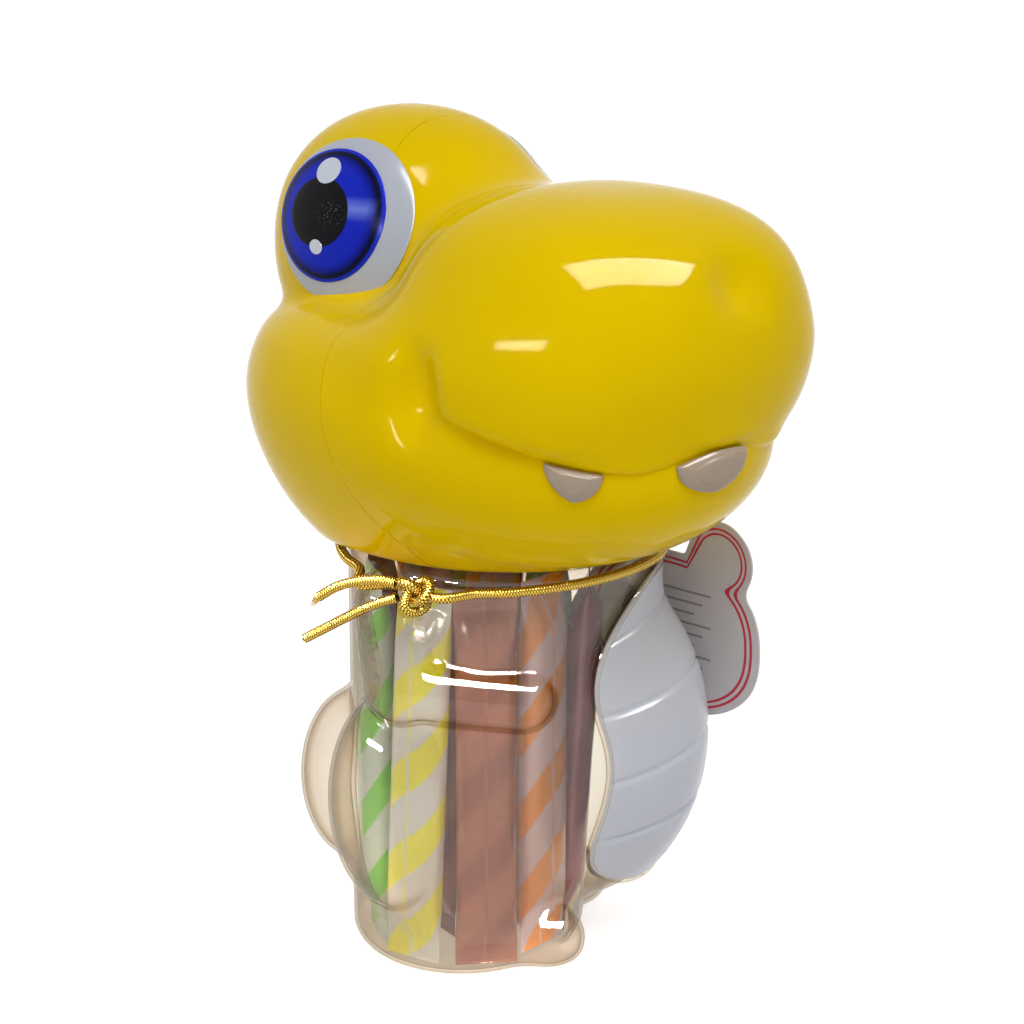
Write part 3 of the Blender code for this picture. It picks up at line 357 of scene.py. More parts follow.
# Mesh counts
JAR_COLUMNS = 180
JAR_ROWS = 170
ROUND_ROWS = 9
PLATE_ROWS = 220
PLATE_COLUMNS = 80
BEAD_STEP = 4
BEAD_SIDES = 10
HEAD_COLUMNS = 200
HEAD_UPPER_ROWS = 90
HEAD_CURL_ROWS = 14
HEAD_LOWER_ROWS = 44
INNER_CURL_ROWS = 5
LIP_PASSES = 8
DISC_RINGS = 28
DISC_SIDES = 96
GLINT_RINGS = 8
GLINT_SIDES = 40
TOOTH_RINGS = 22
TOOTH_SIDES = 72
KNOT_POINTS = 400
BRAID_SIDES = 30
TIP_POINTS = 8
FRAY_POINTS = 8
FRAY_SIDES = 6
TAG_COLUMNS = 360
TAG_HOLE_STEP = 6
CRIMP_ROWS = 26
SHOULDER_ROWS = 20
STICK_ROWS = 40
STICK_SIDES = 72
CAST_STEPS = 120
CAST_HALVINGS = 14
SHARP_ANGLE = math.radians(50)


def ellipsoid(points, centre, half):
    """Near distance to an ellipsoid."""
    offset = points - centre
    scaled = np.linalg.norm(offset / half, axis=-1)
    slope = np.linalg.norm(offset / half**2, axis=-1)
    return scaled * (scaled - 1) / np.maximum(slope, 1e-9)


def squared_ellipsoid(points, centre, half, squareness):
    """Near distance to an ellipsoid with fuller corners."""
    scaled = np.abs((points - centre) / half) ** squareness
    return (scaled.sum(axis=-1) ** (1 / squareness) - 1) * half.min()


def capsule(points, start, end, radius):
    """Distance to a round-ended rod with one radius, or one for each end."""
    first, last = np.broadcast_to(radius, 2)
    along = end - start
    share = np.clip((points - start) @ along / (along @ along), 0, 1)
    offset = points - start - share[..., None] * along
    return np.linalg.norm(offset, axis=-1) - first - (last - first) * share


def blend(first, second, width):
    """Union of two forms with a soft fillet between them."""
    share = np.clip(0.5 + 0.5 * (second - first) / width, 0, 1)
    return second * (1 - share) + first * share - width * share * (1 - share)


def carve(form, cutter, width):
    """A form less a cutter, with a soft edge."""
    return -blend(-form, cutter, width)


def mirrored(points):
    """Points folded on to the creature's left half."""
    folded = np.array(points, dtype=float)
    folded[..., 0] = np.abs(folded[..., 0])
    return folded


def smooth_step(value):
    """Soft ramp from 0 to 1."""
    share = np.clip(value, 0, 1)
    return share * share * (3 - 2 * share)


def signed_power(wave, power):
    """A wave made fuller or sharper, with its signs kept."""
    return np.sign(wave) * np.abs(wave) ** power


def unit(vectors):
    """Vectors brought to a length of 1."""
    return vectors / np.linalg.norm(vectors, axis=-1, keepdims=True)


def trunk_form(points):
    """Near distance to the jar's outer wall without its limbs."""
    p = mirrored(points)
    flare = smooth_step(p[..., 2] / FLARE_HEIGHT)
    front = BASE_FRONT + (JAR_RADIUS - BASE_FRONT) * flare
    half_width = BASE_HALF_WIDTH + (JAR_RADIUS - BASE_HALF_WIDTH) * flare
    half_depth = (front + JAR_BACK) / 2
    across = p[..., 0] / half_width
    fore_and_aft = (p[..., 1] - (JAR_BACK - front) / 2) / half_depth
    form = (np.hypot(across, fore_and_aft) - 1) * np.minimum(half_width, half_depth)
    return blend(form, ellipsoid(p, *BELLY), BELLY_BLEND)


def jar_form(points):
    """Near distance to the jar's outer wall below the shoulder."""
    p = mirrored(points)
    upper_arm = capsule(p, ARM_SHOULDER, ARM_ELBOW, UPPER_ARM_RADIUS)
    forearm = capsule(p, ARM_ELBOW, ARM_HAND, FOREARM_RADIUS)
    form = blend(trunk_form(p), ellipsoid(p, *THIGH), LIMB_BLEND)
    form = blend(form, capsule(p, HEEL, TOE, (HEEL_RADIUS, TOE_RADIUS)), LIMB_BLEND)
    form = blend(form, ellipsoid(p, *TAIL), TAIL_BLEND)
    return blend(form, blend(upper_arm, forearm, ARM_BLEND), ARM_BLEND)


def lip_height(y):
    """Height of the lip's edge, which rises from its lowest points to the nose and the mouth's corners."""
    to_corner = np.clip((y - LIP_LOWEST_Y) / (LIP_CORNER_Y - LIP_LOWEST_Y), 0, 1)
    to_nose = np.clip((y - LIP_LOWEST_Y) / (LIP_NOSE_Y - LIP_LOWEST_Y), 0, 1)
    smile = (LIP_CORNER_HEIGHT - LIP_HEIGHT) * to_corner**LIP_CORNER_POWER
    return LIP_HEIGHT + smile + LIP_BOW * to_nose**2


def lip_recess(y, below):
    """How far the skin is drawn in under the lip, which fades down the jaw and at the mouth's corners."""
    curl = 1 - np.sqrt(1 - np.clip(1 + below / LIP_CURL, 0, 1) ** 2)
    fade = np.exp(-np.maximum(below, 0) / LIP_FADE)
    return LIP_STEP * curl * fade * smooth_step((LIP_CORNER_Y - y) / LIP_CORNER_FADE)


def brow_forms(p):
    """Near distances to the eyes' dome and to the snout and lip, and the width of the fillet between."""
    z = p[..., 2]
    dome = squared_ellipsoid(p, *EYE_LOBE)
    snout = squared_ellipsoid(p, *SNOUT)
    muzzle = squared_ellipsoid(p, *MUZZLE)
    upper = blend(snout, carve(muzzle, z - lip_height(p[..., 1]), LIP_ROUND), SNOUT_BLEND)
    rise = np.clip((z - CHEEK_BLEND_FROM) / (CHEEK_BLEND_TO - CHEEK_BLEND_FROM), 0, 1)
    fall = np.clip((BROW_BLEND_TO - z) / (BROW_BLEND_TO - BROW_BLEND_FROM), 0, 1)
    crease = LIP_CREASE + (BROW_CREASE - LIP_CREASE + (CHEEK_BLEND - BROW_CREASE) * fall) * rise
    return dome, upper, crease


def head_form(points):
    """Near distance to the head's outer skin, in the head's own frame."""
    p = mirrored(points)
    y = p[..., 1]
    z = p[..., 2]
    dome, upper, crease = brow_forms(p)
    jaw = carve(ellipsoid(p, *JAW), JAW_TOP - z, JAW_TOP_ROUND)
    jaw = blend(jaw, ellipsoid(p, *NAPE), NAPE_BLEND)
    jaw = blend(jaw, ellipsoid(p, *COLLAR), COLLAR_BLEND)
    form = blend(blend(jaw, dome, LOBE_BLEND), upper, crease)
    form = carve(form, ellipsoid(p, *DIMPLE), DIMPLE_BLEND)
    form = carve(form, ellipsoid(points, *NOSE_DIMPLE), NOSE_DIMPLE_BLEND)
    return form + lip_recess(y, lip_height(y) - z)


def eye_bed(points):
    """Near distance to the dome and brow that the eyes lie on."""
    return blend(*brow_forms(mirrored(points)))


def tag_form(points):
    """Distance to the card's outline in its own plane: a tab, a broad body and a lobe beside it."""
    flat = points[..., [0, 2]]
    body = squared_ellipsoid(flat, *TAG_BODY)
    lobe = np.linalg.norm(flat - TAG_LOBE_CENTRE, axis=-1) - TAG_LOBE_RADIUS
    tab = capsule(flat, np.zeros(2), TAG_TAB_FOOT, TAG_TAB_RADIUS)
    return blend(blend(body, lobe, TAG_BLEND), tab, TAG_BLEND)


def cast(form, origin, directions, reach, depth=0.0):
    """Where each ray last lies this deep under a form's surface."""
    steps = np.linspace(0, reach, CAST_STEPS)
    last = np.zeros(np.broadcast(origin, directions).shape[:-1], dtype=int)
    for i, step in enumerate(steps):
        last = np.where(form(origin + directions * step) < -depth, i, last)
    near = steps[last]
    far = near + steps[1]
    for _ in range(CAST_HALVINGS):
        middle = (near + far) / 2
        within = form(origin + directions * middle[..., None]) < -depth
        near = np.where(within, middle, near)
        far = np.where(within, far, middle)
    return origin + directions * near[..., None]


def outward(form, points):
    """Unit normals of a form's surface."""
    step = 0.2 * MM
    slopes = [form(points + step * axis) - form(points - step * axis) for axis in np.eye(3)]
    return unit(np.stack(slopes, axis=-1))


def turn_angles(count):
    """Equal turns round a ring."""
    return np.arange(count) * 2 * math.pi / count


def level_vector(turn):
    """Level unit vectors turned this far round from +X."""
    return np.stack([np.cos(turn), np.sin(turn), 0 * turn], axis=-1)


def circle(radius, height, count):
    """A level ring of points round the neck axis."""
    return level_vector(turn_angles(count)) * radius + UP * height


def shares_to_rim(first, count):
    """Shares of the way from a disc's middle to its rim, closer towards the rim."""
    return np.sin(np.linspace(first, math.pi / 2, count))[:, None, None]


def shares_across(count):
    """Shares from -1 to 1, closer towards both ends."""
    return np.sin(np.linspace(-math.pi / 2, math.pi / 2, count))


def on_head(points):
    """Points of the head's own frame, in the frame of the whole part."""
    cos, sin = math.cos(HEAD_TURN), math.sin(HEAD_TURN)
    turn = np.array([[cos, -sin, 0], [sin, cos, 0], [0, 0, 1]])
    return points @ turn.T + UP * RIM_HEIGHT


def grid_faces(rows, columns, closed=True):
    """Quads over a grid of points, row by row, whose columns may close on themselves."""
    row = np.arange(rows - 1)[:, None] * columns
    column = np.arange(columns if closed else columns - 1)[None]
    after = (column + 1) % columns
    corners = (row + column, row + after, row + columns + after, row + columns + column)
    return np.stack(corners, axis=-1).reshape(-1, 4).tolist()


def tube_faces(rows, columns):
    """Faces of a skin of rings, shut at each end by a fan round one more point."""
    faces = grid_faces(rows, columns)
    first = rows * columns
    last_row = first - columns
    for i in range(columns):
        after = (i + 1) % columns
        faces.append((first, after, i))
        faces.append((first + 1, last_row + i, last_row + after))
    return faces


def piece(name, points, faces, material, body, uv=None):
    """Add a smooth-shaded mesh that rides on a body, with a place on the print for each point if asked."""
    mesh = bpy.data.meshes.new(name)
    mesh.from_pydata(np.reshape(points, (-1, 3)).tolist(), [], faces)
    if uv is not None:
        corners = np.zeros(len(mesh.loops), dtype=int)
        mesh.loops.foreach_get("vertex_index", corners)
        layer = mesh.uv_layers.new(name="print")
        layer.data.foreach_set("uv", np.reshape(uv, (-1, 2))[corners].ravel())
    return finish_piece(name, mesh, material, body)


def add_object(name, data):
    """Put an object with this data in the scene."""
    made = bpy.data.objects.new(name, data)
    bpy.context.scene.collection.objects.link(made)
    return made


def finish_piece(name, mesh, material, body):
    """Put a mesh in the scene as a piece that rides on a body."""
    bm = bmesh.new()
    bm.from_mesh(mesh)
    bmesh.ops.recalc_face_normals(bm, faces=bm.faces[:])
    bm.to_mesh(mesh)
    bm.free()
    mesh.shade_smooth()
    mesh.set_sharp_from_angle(angle=SHARP_ANGLE)
    mesh.materials.append(material)
    made = add_object(name, mesh)
    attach(made, body)
    return made


def skin_of_rings(rows, poles):
    """Points of a skin of rings, with its two poles last."""
    return np.concatenate([np.concatenate(rows), np.array(poles)])


def ring_piece(name, rows, poles, material, body, uv=None):
    """Add a piece whose skin is rings of points, shut by a pole at each end."""
    faces = tube_faces(len(rows), len(rows[0]))
    return piece(name, skin_of_rings(rows, poles), faces, material, body, uv)


class Graph:
    """A tree of shader nodes under construction."""

    def __init__(self, tree):
        self.nodes = tree.nodes
        self.links = tree.links

    def plug(self, socket, value):
        """Link a socket to another one, or set it to a plain value."""
        if isinstance(value, bpy.types.NodeSocket):
            self.links.new(value, socket)
        else:
            socket.default_value = value

    def node(self, kind, **values):
        """Add a node, and drive or set its inputs by name."""
        made = self.nodes.new(kind)
        for name, value in values.items():
            self.plug(made.inputs[name.replace("_", " ")], value)
        return made

    def math(self, operation, first, second=0.0):
        """A sum on one or two sockets or numbers."""
        made = self.nodes.new("ShaderNodeMath")
        made.operation = operation
        self.plug(made.inputs[0], first)
        self.plug(made.inputs[1], second)
        return made.outputs[0]

    def spread(self, value, low, high):
        """A value from 0 to 1, stretched between two others."""
        return self.node("ShaderNodeMapRange", Value=value, To_Min=low, To_Max=high).outputs["Result"]


class Look(Graph):
    """A material under construction: its shader and a few ways to feed it."""

    def __init__(self, name, colour=(0.8, 0.8, 0.8), roughness=0.3, metallic=0.0):
        self.material = bpy.data.materials.new(name)
        self.material.use_nodes = True
        super().__init__(self.material.node_tree)
        self.shader = self.nodes["Principled BSDF"]
        self.feed("Base Color", (*colour, 1))
        self.feed("Roughness", roughness)
        self.feed("Metallic", metallic)

    def feed(self, name, value):
        """Drive or set one of the shader's inputs."""
        self.plug(self.shader.inputs[name], value)

    def coordinates(self, kind):
        """A texture coordinate."""
        return self.nodes.new("ShaderNodeTexCoord").outputs[kind]

    def print_place(self):
        """How far across and up its print each point lies."""
        made = self.node("ShaderNodeSeparateXYZ", Vector=self.coordinates("UV"))
        return made.outputs["X"], made.outputs["Y"]

    def noise(self, scale, detail=3.0):
        """Cloudy noise in the part's own space."""
        place = self.coordinates("Object")
        return self.node("ShaderNodeTexNoise", Scale=scale, Detail=detail, Vector=place).outputs["Fac"]

    def ramp(self, value, stops):
        """A colour ramp over a value, from pairs of position and colour."""
        made = self.node("ShaderNodeValToRGB", Fac=value)
        elements = made.color_ramp.elements
        while len(elements) < len(stops):
            elements.new(0.5)
        for element, (position, colour) in zip(elements, stops):
            element.position = position
            element.color = (*colour, 1)
        return made.outputs["Color"]

    def mixed(self, share, first, second):
        """One colour that gives way to another."""
        made = self.nodes.new("ShaderNodeMix")
        made.data_type = "RGBA"
        self.plug(made.inputs["Factor"], share)
        self.plug(made.inputs[6], first)
        self.plug(made.inputs[7], second)
        return made.outputs[2]

    def bump(self, height, distance, strength=1.0):
        """Relief of this depth."""
        made = self.node("ShaderNodeBump", Height=height, Distance=distance, Strength=strength)
        return made.outputs["Normal"]


def tinted(look, colour, amount, scale):
    """Vary a colour a little over the surface."""
    dark = tuple(channel * (1 - amount) for channel in colour)
    light = tuple(min(channel * (1 + amount), 1) for channel in colour)
    look.feed("Base Color", look.ramp(look.noise(scale), [(0.3, dark), (0.7, light)]))


def gloss_plastic(name):
    """Moulded plastic with a soft waviness and slightly uneven gloss, whose reflections take a tint."""
    colour, roughness, waviness, sheen, index = PLASTICS[name]
    look = Look(name, colour, roughness)
    tinted(look, colour, amount=0.03, scale=14)
    look.feed("Roughness", look.spread(look.noise(160), 0.7 * roughness, 1.3 * roughness))
    look.feed("Normal", look.bump(look.noise(40, 1.0), waviness))
    look.feed("Specular Tint", (*sheen, 1))
    look.feed("IOR", index)
    return look.material


def matte_plastic(name, colour, roughness):
    """Plain moulded plastic with a fine grain."""
    look = Look(name, colour, roughness)
    tinted(look, colour, amount=0.04, scale=30)
    look.feed("Normal", look.bump(look.noise(1800, 1.0), 0.03 * MM))
    return look.material


def clear_plastic(name):
    """Thin clear plastic: it mirrors by angle and lets the rest through, with a warm tint that deepens
    towards its edges into painted edge shade.
    """
    look = Look(name)
    wave = look.bump(look.noise(28, 1.0), 1.2 * MM, strength=0.35)
    facing = look.node("ShaderNodeLayerWeight", Blend=0.5, Normal=wave).outputs["Facing"]
    # Warm tint of the plastic, darkened towards grazing edges as painted edge shade
    tint_and_edge_shade = [
        (0.1, (0.95, 0.925, 0.885)),
        (0.45, (0.91, 0.87, 0.81)),
        (0.75, (0.72, 0.65, 0.55)),
        (1.0, (0.42, 0.35, 0.27)),
    ]
    through = look.node("ShaderNodeBsdfTransparent", Color=look.ramp(facing, tint_and_edge_shade))
    mirror = look.node("ShaderNodeBsdfAnisotropic", Color=(*WHITE, 1), Roughness=0.04, Normal=wave)
    mirrored_share = look.spread(look.math("POWER", facing, 5.0), 0.04, 0.5)
    mix = look.node("ShaderNodeMixShader", Fac=mirrored_share)
    look.plug(mix.inputs[1], through.outputs[0])
    look.plug(mix.inputs[2], mirror.outputs[0])
    look.nodes.remove(look.shader)
    look.plug(look.nodes["Material Output"].inputs["Surface"], mix.outputs[0])
    return look.material


def film(name, ground, stripe, softness):
    """Printed film wrapper: slanting stripes on a pale ground, crinkled and shiny."""
    look = Look(name, ground, 0.22)
    across, up = look.print_place()
    slant = look.math("MULTIPLY", across, -STRIPE_SLOPE)
    cycle = look.math("FRACT", look.math("DIVIDE", look.math("ADD", slant, up), STRIPE_PERIOD))
    stops = [(0.0, ground), (softness, stripe), (STRIPE_SHARE, stripe), (STRIPE_SHARE + softness, ground)]
    look.feed("Base Color", look.ramp(cycle, stops))
    crinkle = look.math("ADD", look.noise(90, 4.0), look.math("MULTIPLY", look.noise(400, 2.0), 0.25))
    look.feed("Normal", look.bump(crinkle, 1.2 * MM, strength=0.5))
    look.feed("Roughness", look.spread(look.noise(200), 0.14, 0.34))
    look.feed("Coat Weight", 0.4)
    look.feed("Coat Roughness", 0.08)
    return look.material


def gold_braid(name):
    """Gold-wrapped elastic: bright threads with painted shade darkening the furrows between them."""
    look = Look(name, (0.72, 0.47, 0.08), 0.24, metallic=1.0)
    height = look.print_place()[1]
    # Painted shade: the gold darkens from the threads' crowns down into the furrows
    furrow_shade = [(0.3, (0.03, 0.013, 0.0)), (0.62, (0.42, 0.24, 0.02)), (0.92, (1.0, 0.74, 0.2))]
    look.feed("Base Color", look.ramp(height, furrow_shade))
    look.feed("Roughness", look.spread(look.noise(1500, 2.0), 0.14, 0.38))
    look.feed("Normal", look.bump(look.noise(2600, 2.0), 0.08 * MM))
    return look.material


def iris_foil(name):
    """Blue foil with a printed dark ring inside its rim, and a pale streak from the pupil that is a painted
    sheen of the foil.
    """
    look = Look(name, (0.01, 0.025, 0.55), 0.2)
    across, up = look.print_place()
    x = look.math("SUBTRACT", across, 0.5)
    y = look.math("SUBTRACT", up, 0.5)
    square = look.math("ADD", look.math("MULTIPLY", x, x), look.math("MULTIPLY", y, y))
    radius = look.math("MULTIPLY", look.math("SQRT", square), 2.0)
    rings = [
        (0.0, (0.012, 0.03, 0.6)),
        (0.74, (0.01, 0.024, 0.56)),
        (0.84, (0.006, 0.012, 0.3)),
        (0.9, (0.003, 0.003, 0.012)),
        (0.94, (0.004, 0.005, 0.04)),
        (0.965, (0.012, 0.03, 0.6)),
    ]
    # Pale streak from the pupil: a painted sheen, mixed into the foil's colour
    rise = look.math("SUBTRACT", y, look.math("MULTIPLY", x, IRIS_SHEEN_SLOPE))
    off = look.math("ABSOLUTE", look.math("SUBTRACT", rise, IRIS_SHEEN_RISE))
    beam = look.math("SUBTRACT", 1.0, look.math("DIVIDE", off, IRIS_SHEEN_HALF_WIDTH))
    ends = look.ramp(across, [(0.6, BLACK), (0.72, WHITE), (0.86, (0.8, 0.8, 0.8)), (0.94, BLACK)])
    sheen_streak = look.math("MULTIPLY", look.math("MAXIMUM", beam, 0.0), ends)
    share = look.math("MULTIPLY", sheen_streak, IRIS_SHEEN_STRENGTH)
    look.feed("Base Color", look.mixed(share, look.ramp(radius, rings), (0.24, 0.32, 0.9, 1)))
    look.feed("Roughness", look.spread(look.noise(300), 0.14, 0.28))
    look.feed("Specular Tint", (0.45, 0.5, 1, 1))
    look.feed("IOR", 1.14)
    return look.material


def pupil_ink(name):
    """Black print with fine bright sparkles, brightest in a patch towards the nose: painted reflections of
    the lights.
    """
    look = Look(name, (0.01, 0.01, 0.012), 0.16)
    # Fine bright sparkles, brightest in a patch towards the nose: painted reflections of the lights
    sparkle_cells = look.node("ShaderNodeTexVoronoi", Scale=1100.0, Vector=look.coordinates("Object"))
    painted_sparkle = look.ramp(sparkle_cells.outputs["Distance"], [(0.05, WHITE), (0.26, BLACK)])
    from_sheen_patch = look.nodes.new("ShaderNodeVectorMath")
    from_sheen_patch.operation = "DISTANCE"
    look.plug(from_sheen_patch.inputs[0], look.coordinates("UV"))
    look.plug(from_sheen_patch.inputs[1], PUPIL_SHEEN_PLACE)
    sheen_patch = look.ramp(from_sheen_patch.outputs["Value"], [(0.04, (0.4, 0.4, 0.42)), (0.26, (0.02, 0.02, 0.022))])
    look.feed("Base Color", look.mixed(painted_sparkle, (0.008, 0.008, 0.01, 1), sheen_patch))
    look.feed("Specular Tint", (0.5, 0.5, 0.55, 1))
    look.feed("IOR", 1.14)
    return look.material


def card(name, colour):
    """Coated card with a faint mottle."""
    look = Look(name, colour, 0.45)
    tinted(look, colour, amount=0.02, scale=120)
    look.feed("Normal", look.bump(look.noise(2500, 2.0), 0.02 * MM))
    return look.material


def drawn_in(radius, levels):
    """How far a rounded edge draws in at levels short of the end of its round."""
    short = np.clip(radius - levels, 0, radius)
    return radius - np.sqrt(radius**2 - short**2)


def jar_wall(depth, rows):
    """Rings of the jar's wall at this depth, from its base to its shoulder."""
    top = JAR_HEIGHT - depth
    arc = np.linspace(0, math.pi / 2, ROUND_ROWS)
    low = depth + BASE_ROUND * (1 - np.cos(arc))
    high = top - SHOULDER_ROUND * (1 - np.cos(arc[::-1]))
    levels = np.concatenate([low, np.linspace(low[-1], high[0], rows)[1:-1], high])
    directions = level_vector(turn_angles(JAR_COLUMNS))
    origin = np.array([0, JAR_AXIS_Y, 0]) + UP * levels[:, None, None]
    skin = cast(jar_form, origin, directions[None], 2 * JAR_RADIUS, depth)
    at_base = drawn_in(BASE_ROUND - depth, levels - depth)
    at_shoulder = drawn_in(SHOULDER_ROUND - depth, top - levels)
    return list(skin - directions[None] * np.maximum(at_base, at_shoulder)[:, None, None])


def build_jar(material):
    """Clear jar with its relief, shoulder, neck and hollow."""
    bore = NECK_RADIUS - JAR_WALL
    profile = [
        (NECK_RADIUS + 2 * NECK_LIP, JAR_HEIGHT),
        (NECK_RADIUS, JAR_HEIGHT + NECK_LIP),
        (NECK_RADIUS, NECK_TOP - NECK_LIP),
        (NECK_RADIUS - NECK_LIP, NECK_TOP),
        (bore + NECK_LIP / 2, NECK_TOP),
        (bore, NECK_TOP - NECK_LIP),
        (bore, JAR_HEIGHT - JAR_WALL),
    ]
    neck = [circle(radius, height, JAR_COLUMNS) for radius, height in profile]
    rows = jar_wall(0.0, JAR_ROWS) + neck + jar_wall(JAR_WALL, JAR_ROWS // 2)[::-1]
    poles = [(0, JAR_AXIS_Y, 0), (0, JAR_AXIS_Y, JAR_WALL)]
    made = ring_piece("clear_jar", rows, poles, material, "jar")
    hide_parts("jar_body")


def plate_half_width(height):
    """Half width of the belly plate at a level on its middle line."""
    squareness = np.where(height > PLATE_CENTRE_Z, PLATE_TOP_SQUARENESS, PLATE_FOOT_SQUARENESS)
    share = np.abs((height - PLATE_CENTRE_Z) / PLATE_HALF_HEIGHT) ** squareness
    return PLATE_HALF_WIDTH * (1 - share) ** (1 / squareness)


def plate_skin(x, height):
    """Points and normals of the jar under the plate, by place across and level on its middle line."""
    centre, half = BELLY
    z = height - PLATE_SAG * (x / PLATE_HALF_WIDTH) ** 2
    inside = np.stack([x, centre[1] + 0 * x, z], axis=-1)
    skin = cast(trunk_form, inside, np.array([0, -1.0, 0]), 2 * half[1])
    return skin, outward(trunk_form, skin)


def build_belly_plate(material, clear):
    """White plate in curved bands, with rounded edges, and the clear bead round it."""
    end = PLATE_END_SHARE * PLATE_HALF_HEIGHT
    levels = PLATE_CENTRE_Z + end * shares_across(PLATE_ROWS)
    shares = shares_across(PLATE_COLUMNS)
    half_width = plate_half_width(levels)
    x = half_width[:, None] * shares
    height = levels[:, None] + 0 * x
    skin, normal = plate_skin(x, height)
    to_side = half_width[:, None] - np.abs(x)
    to_end = end - np.abs(height - PLATE_CENTRE_Z)
    edge = np.sqrt(1 - (1 - np.clip(np.minimum(to_side, to_end) / PLATE_EDGE_ROUND, 0, 1)) ** 2)
    thickness = PLATE_EDGE + (PLATE_THICKNESS - PLATE_EDGE) * edge
    for i in range(GROOVE_COUNT):
        middle = PLATE_CENTRE_Z + GROOVE_TOP - i * GROOVE_PITCH
        dent = np.exp(-(((height - middle) / GROOVE_HALF_WIDTH) ** 2))
        thickness = thickness - edge * GROOVE_DEPTH * dent
    back = skin + normal * PLATE_SEAT
    face = back + normal * thickness[..., None]
    rows, columns = x.shape
    faces = grid_faces(rows, columns, closed=False)
    count = rows * columns
    faces += [tuple(count + corner for corner in quad) for quad in faces]
    border = [(0, j) for j in range(columns - 1)] + [(i, columns - 1) for i in range(rows - 1)]
    border += [(rows - 1, j) for j in range(columns - 1, 0, -1)] + [(i, 0) for i in range(rows - 1, 0, -1)]
    ring = [i * columns + j for i, j in border]
    faces += [(a, b, count + b, count + a) for a, b in zip(ring, ring[1:] + ring[:1])]
    made = piece("banded_plate", np.stack([face, back]), faces, material, "jar")
    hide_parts("belly_plate")
    rim = np.array([(skin + normal * FLANGE_RADIUS)[i, j] for i, j in border[::BEAD_STEP]])
    points, bead = tube_skin(np.concatenate([rim, rim[:1]]), FLANGE_RADIUS, BEAD_SIDES)
    piece("plate_bead", points, bead, clear, "jar")


def tilted(tilt, turn):
    """Unit vectors tilted from straight up, towards level turns."""
    return level_vector(turn) * np.sin(tilt)[..., None] + UP * np.cos(tilt)[..., None]


def lip_tilts(turn, depth):
    """Tilt of each column's ray that meets the lip's edge."""
    tilt = np.full(len(turn), math.pi / 2)
    for _ in range(LIP_PASSES):
        skin = cast(head_form, HEAD_CORE, tilted(tilt, turn), HEAD_REACH, depth)
        reach = np.linalg.norm(skin - HEAD_CORE, axis=-1)
        tilt = np.arccos((lip_height(skin[:, 1]) - HEAD_CORE[2]) / reach)
    return tilt


def head_rows(depth, upper_rows, curl_rows, lower_rows):
    """Rings of one face of the head's wall, from near its crown past the lip's edge to its rim."""
    rim = cast(head_form, RIM_CORE, level_vector(turn_angles(HEAD_COLUMNS)), HEAD_REACH, depth)
    to_rim = rim - HEAD_CORE
    turn = np.arctan2(to_rim[:, 1], to_rim[:, 0])
    rim_tilt = np.arccos(to_rim[:, 2] / np.linalg.norm(to_rim, axis=-1))
    lip = lip_tilts(turn, depth)
    curl = lip - LIP_CURL_TILT
    upper = [curl * share for share in np.linspace(0, 1, upper_rows)[1:-1]]
    edge = [lip - LIP_CURL_TILT * share**2 for share in np.linspace(1, 0, curl_rows)]
    below = np.linspace(0, 1, lower_rows)[1:-1] ** LOWER_ROW_POWER
    lower = [lip + (rim_tilt - lip) * share for share in below]
    tilts = np.array(upper + edge + lower)
    rows = cast(head_form, HEAD_CORE, tilted(tilts, turn[None]), HEAD_REACH, depth)
    crown = cast(head_form, HEAD_CORE, UP[None], HEAD_REACH, depth)[0]
    return list(rows) + [rim], crown


def build_head(material):
    """The two shells of the head, which meet at the leaning seam."""
    outer, outer_crown = head_rows(0.0, HEAD_UPPER_ROWS, HEAD_CURL_ROWS, HEAD_LOWER_ROWS)
    inner, inner_crown = head_rows(HEAD_WALL, HEAD_UPPER_ROWS // 4, INNER_CURL_ROWS, HEAD_LOWER_ROWS // 4)
    rows = outer + inner[::-1]
    points = skin_of_rings(rows, [outer_crown, inner_crown])
    faces = tube_faces(len(rows), HEAD_COLUMNS)
    for name, side in (("head_front_shell", -1), ("head_back_shell", 1)):
        mesh = bpy.data.meshes.new(name)
        mesh.from_pydata(points.tolist(), [], faces)
        bm = bmesh.new()
        bm.from_mesh(mesh)
        normal = Vector((0, side, -side * SEAM_LEAN)).normalized()
        middle = Vector((0, SEAM_Y, 0)) + normal * GAP / 2
        bmesh.ops.bisect_plane(
            bm,
            geom=bm.verts[:] + bm.edges[:] + bm.faces[:],
            plane_co=middle,
            plane_no=normal,
            clear_inner=True,
            dist=SEAM_WELD,
        )
        rim = [edge for edge in bm.edges if edge.is_boundary]
        bmesh.ops.triangle_fill(bm, edges=rim, use_beauty=True, normal=normal)
        for vertex in bm.verts:
            vertex.co = on_head(np.array(vertex.co))
        bm.to_mesh(mesh)
        bm.free()
        made = finish_piece(f"{name}_skin", mesh, material, "head")
        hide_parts(name)


def look_towards(turn, rise, side=1):
    """Unit vector turned from the front towards one side and raised."""
    level = level_vector(turn - math.pi / 2) * (side, 1, 1)
    return level * math.cos(rise) + UP * math.sin(rise)


def laid_on(form, skin, seat, thickness):
    """Rings of a thin piece laid on a form of the head: its face, then the rim of its back."""
    normal = outward(form, skin)
    face = skin + normal * (seat + thickness)
    back = skin + normal * seat
    return on_head(np.concatenate([face, back[-1:]]))


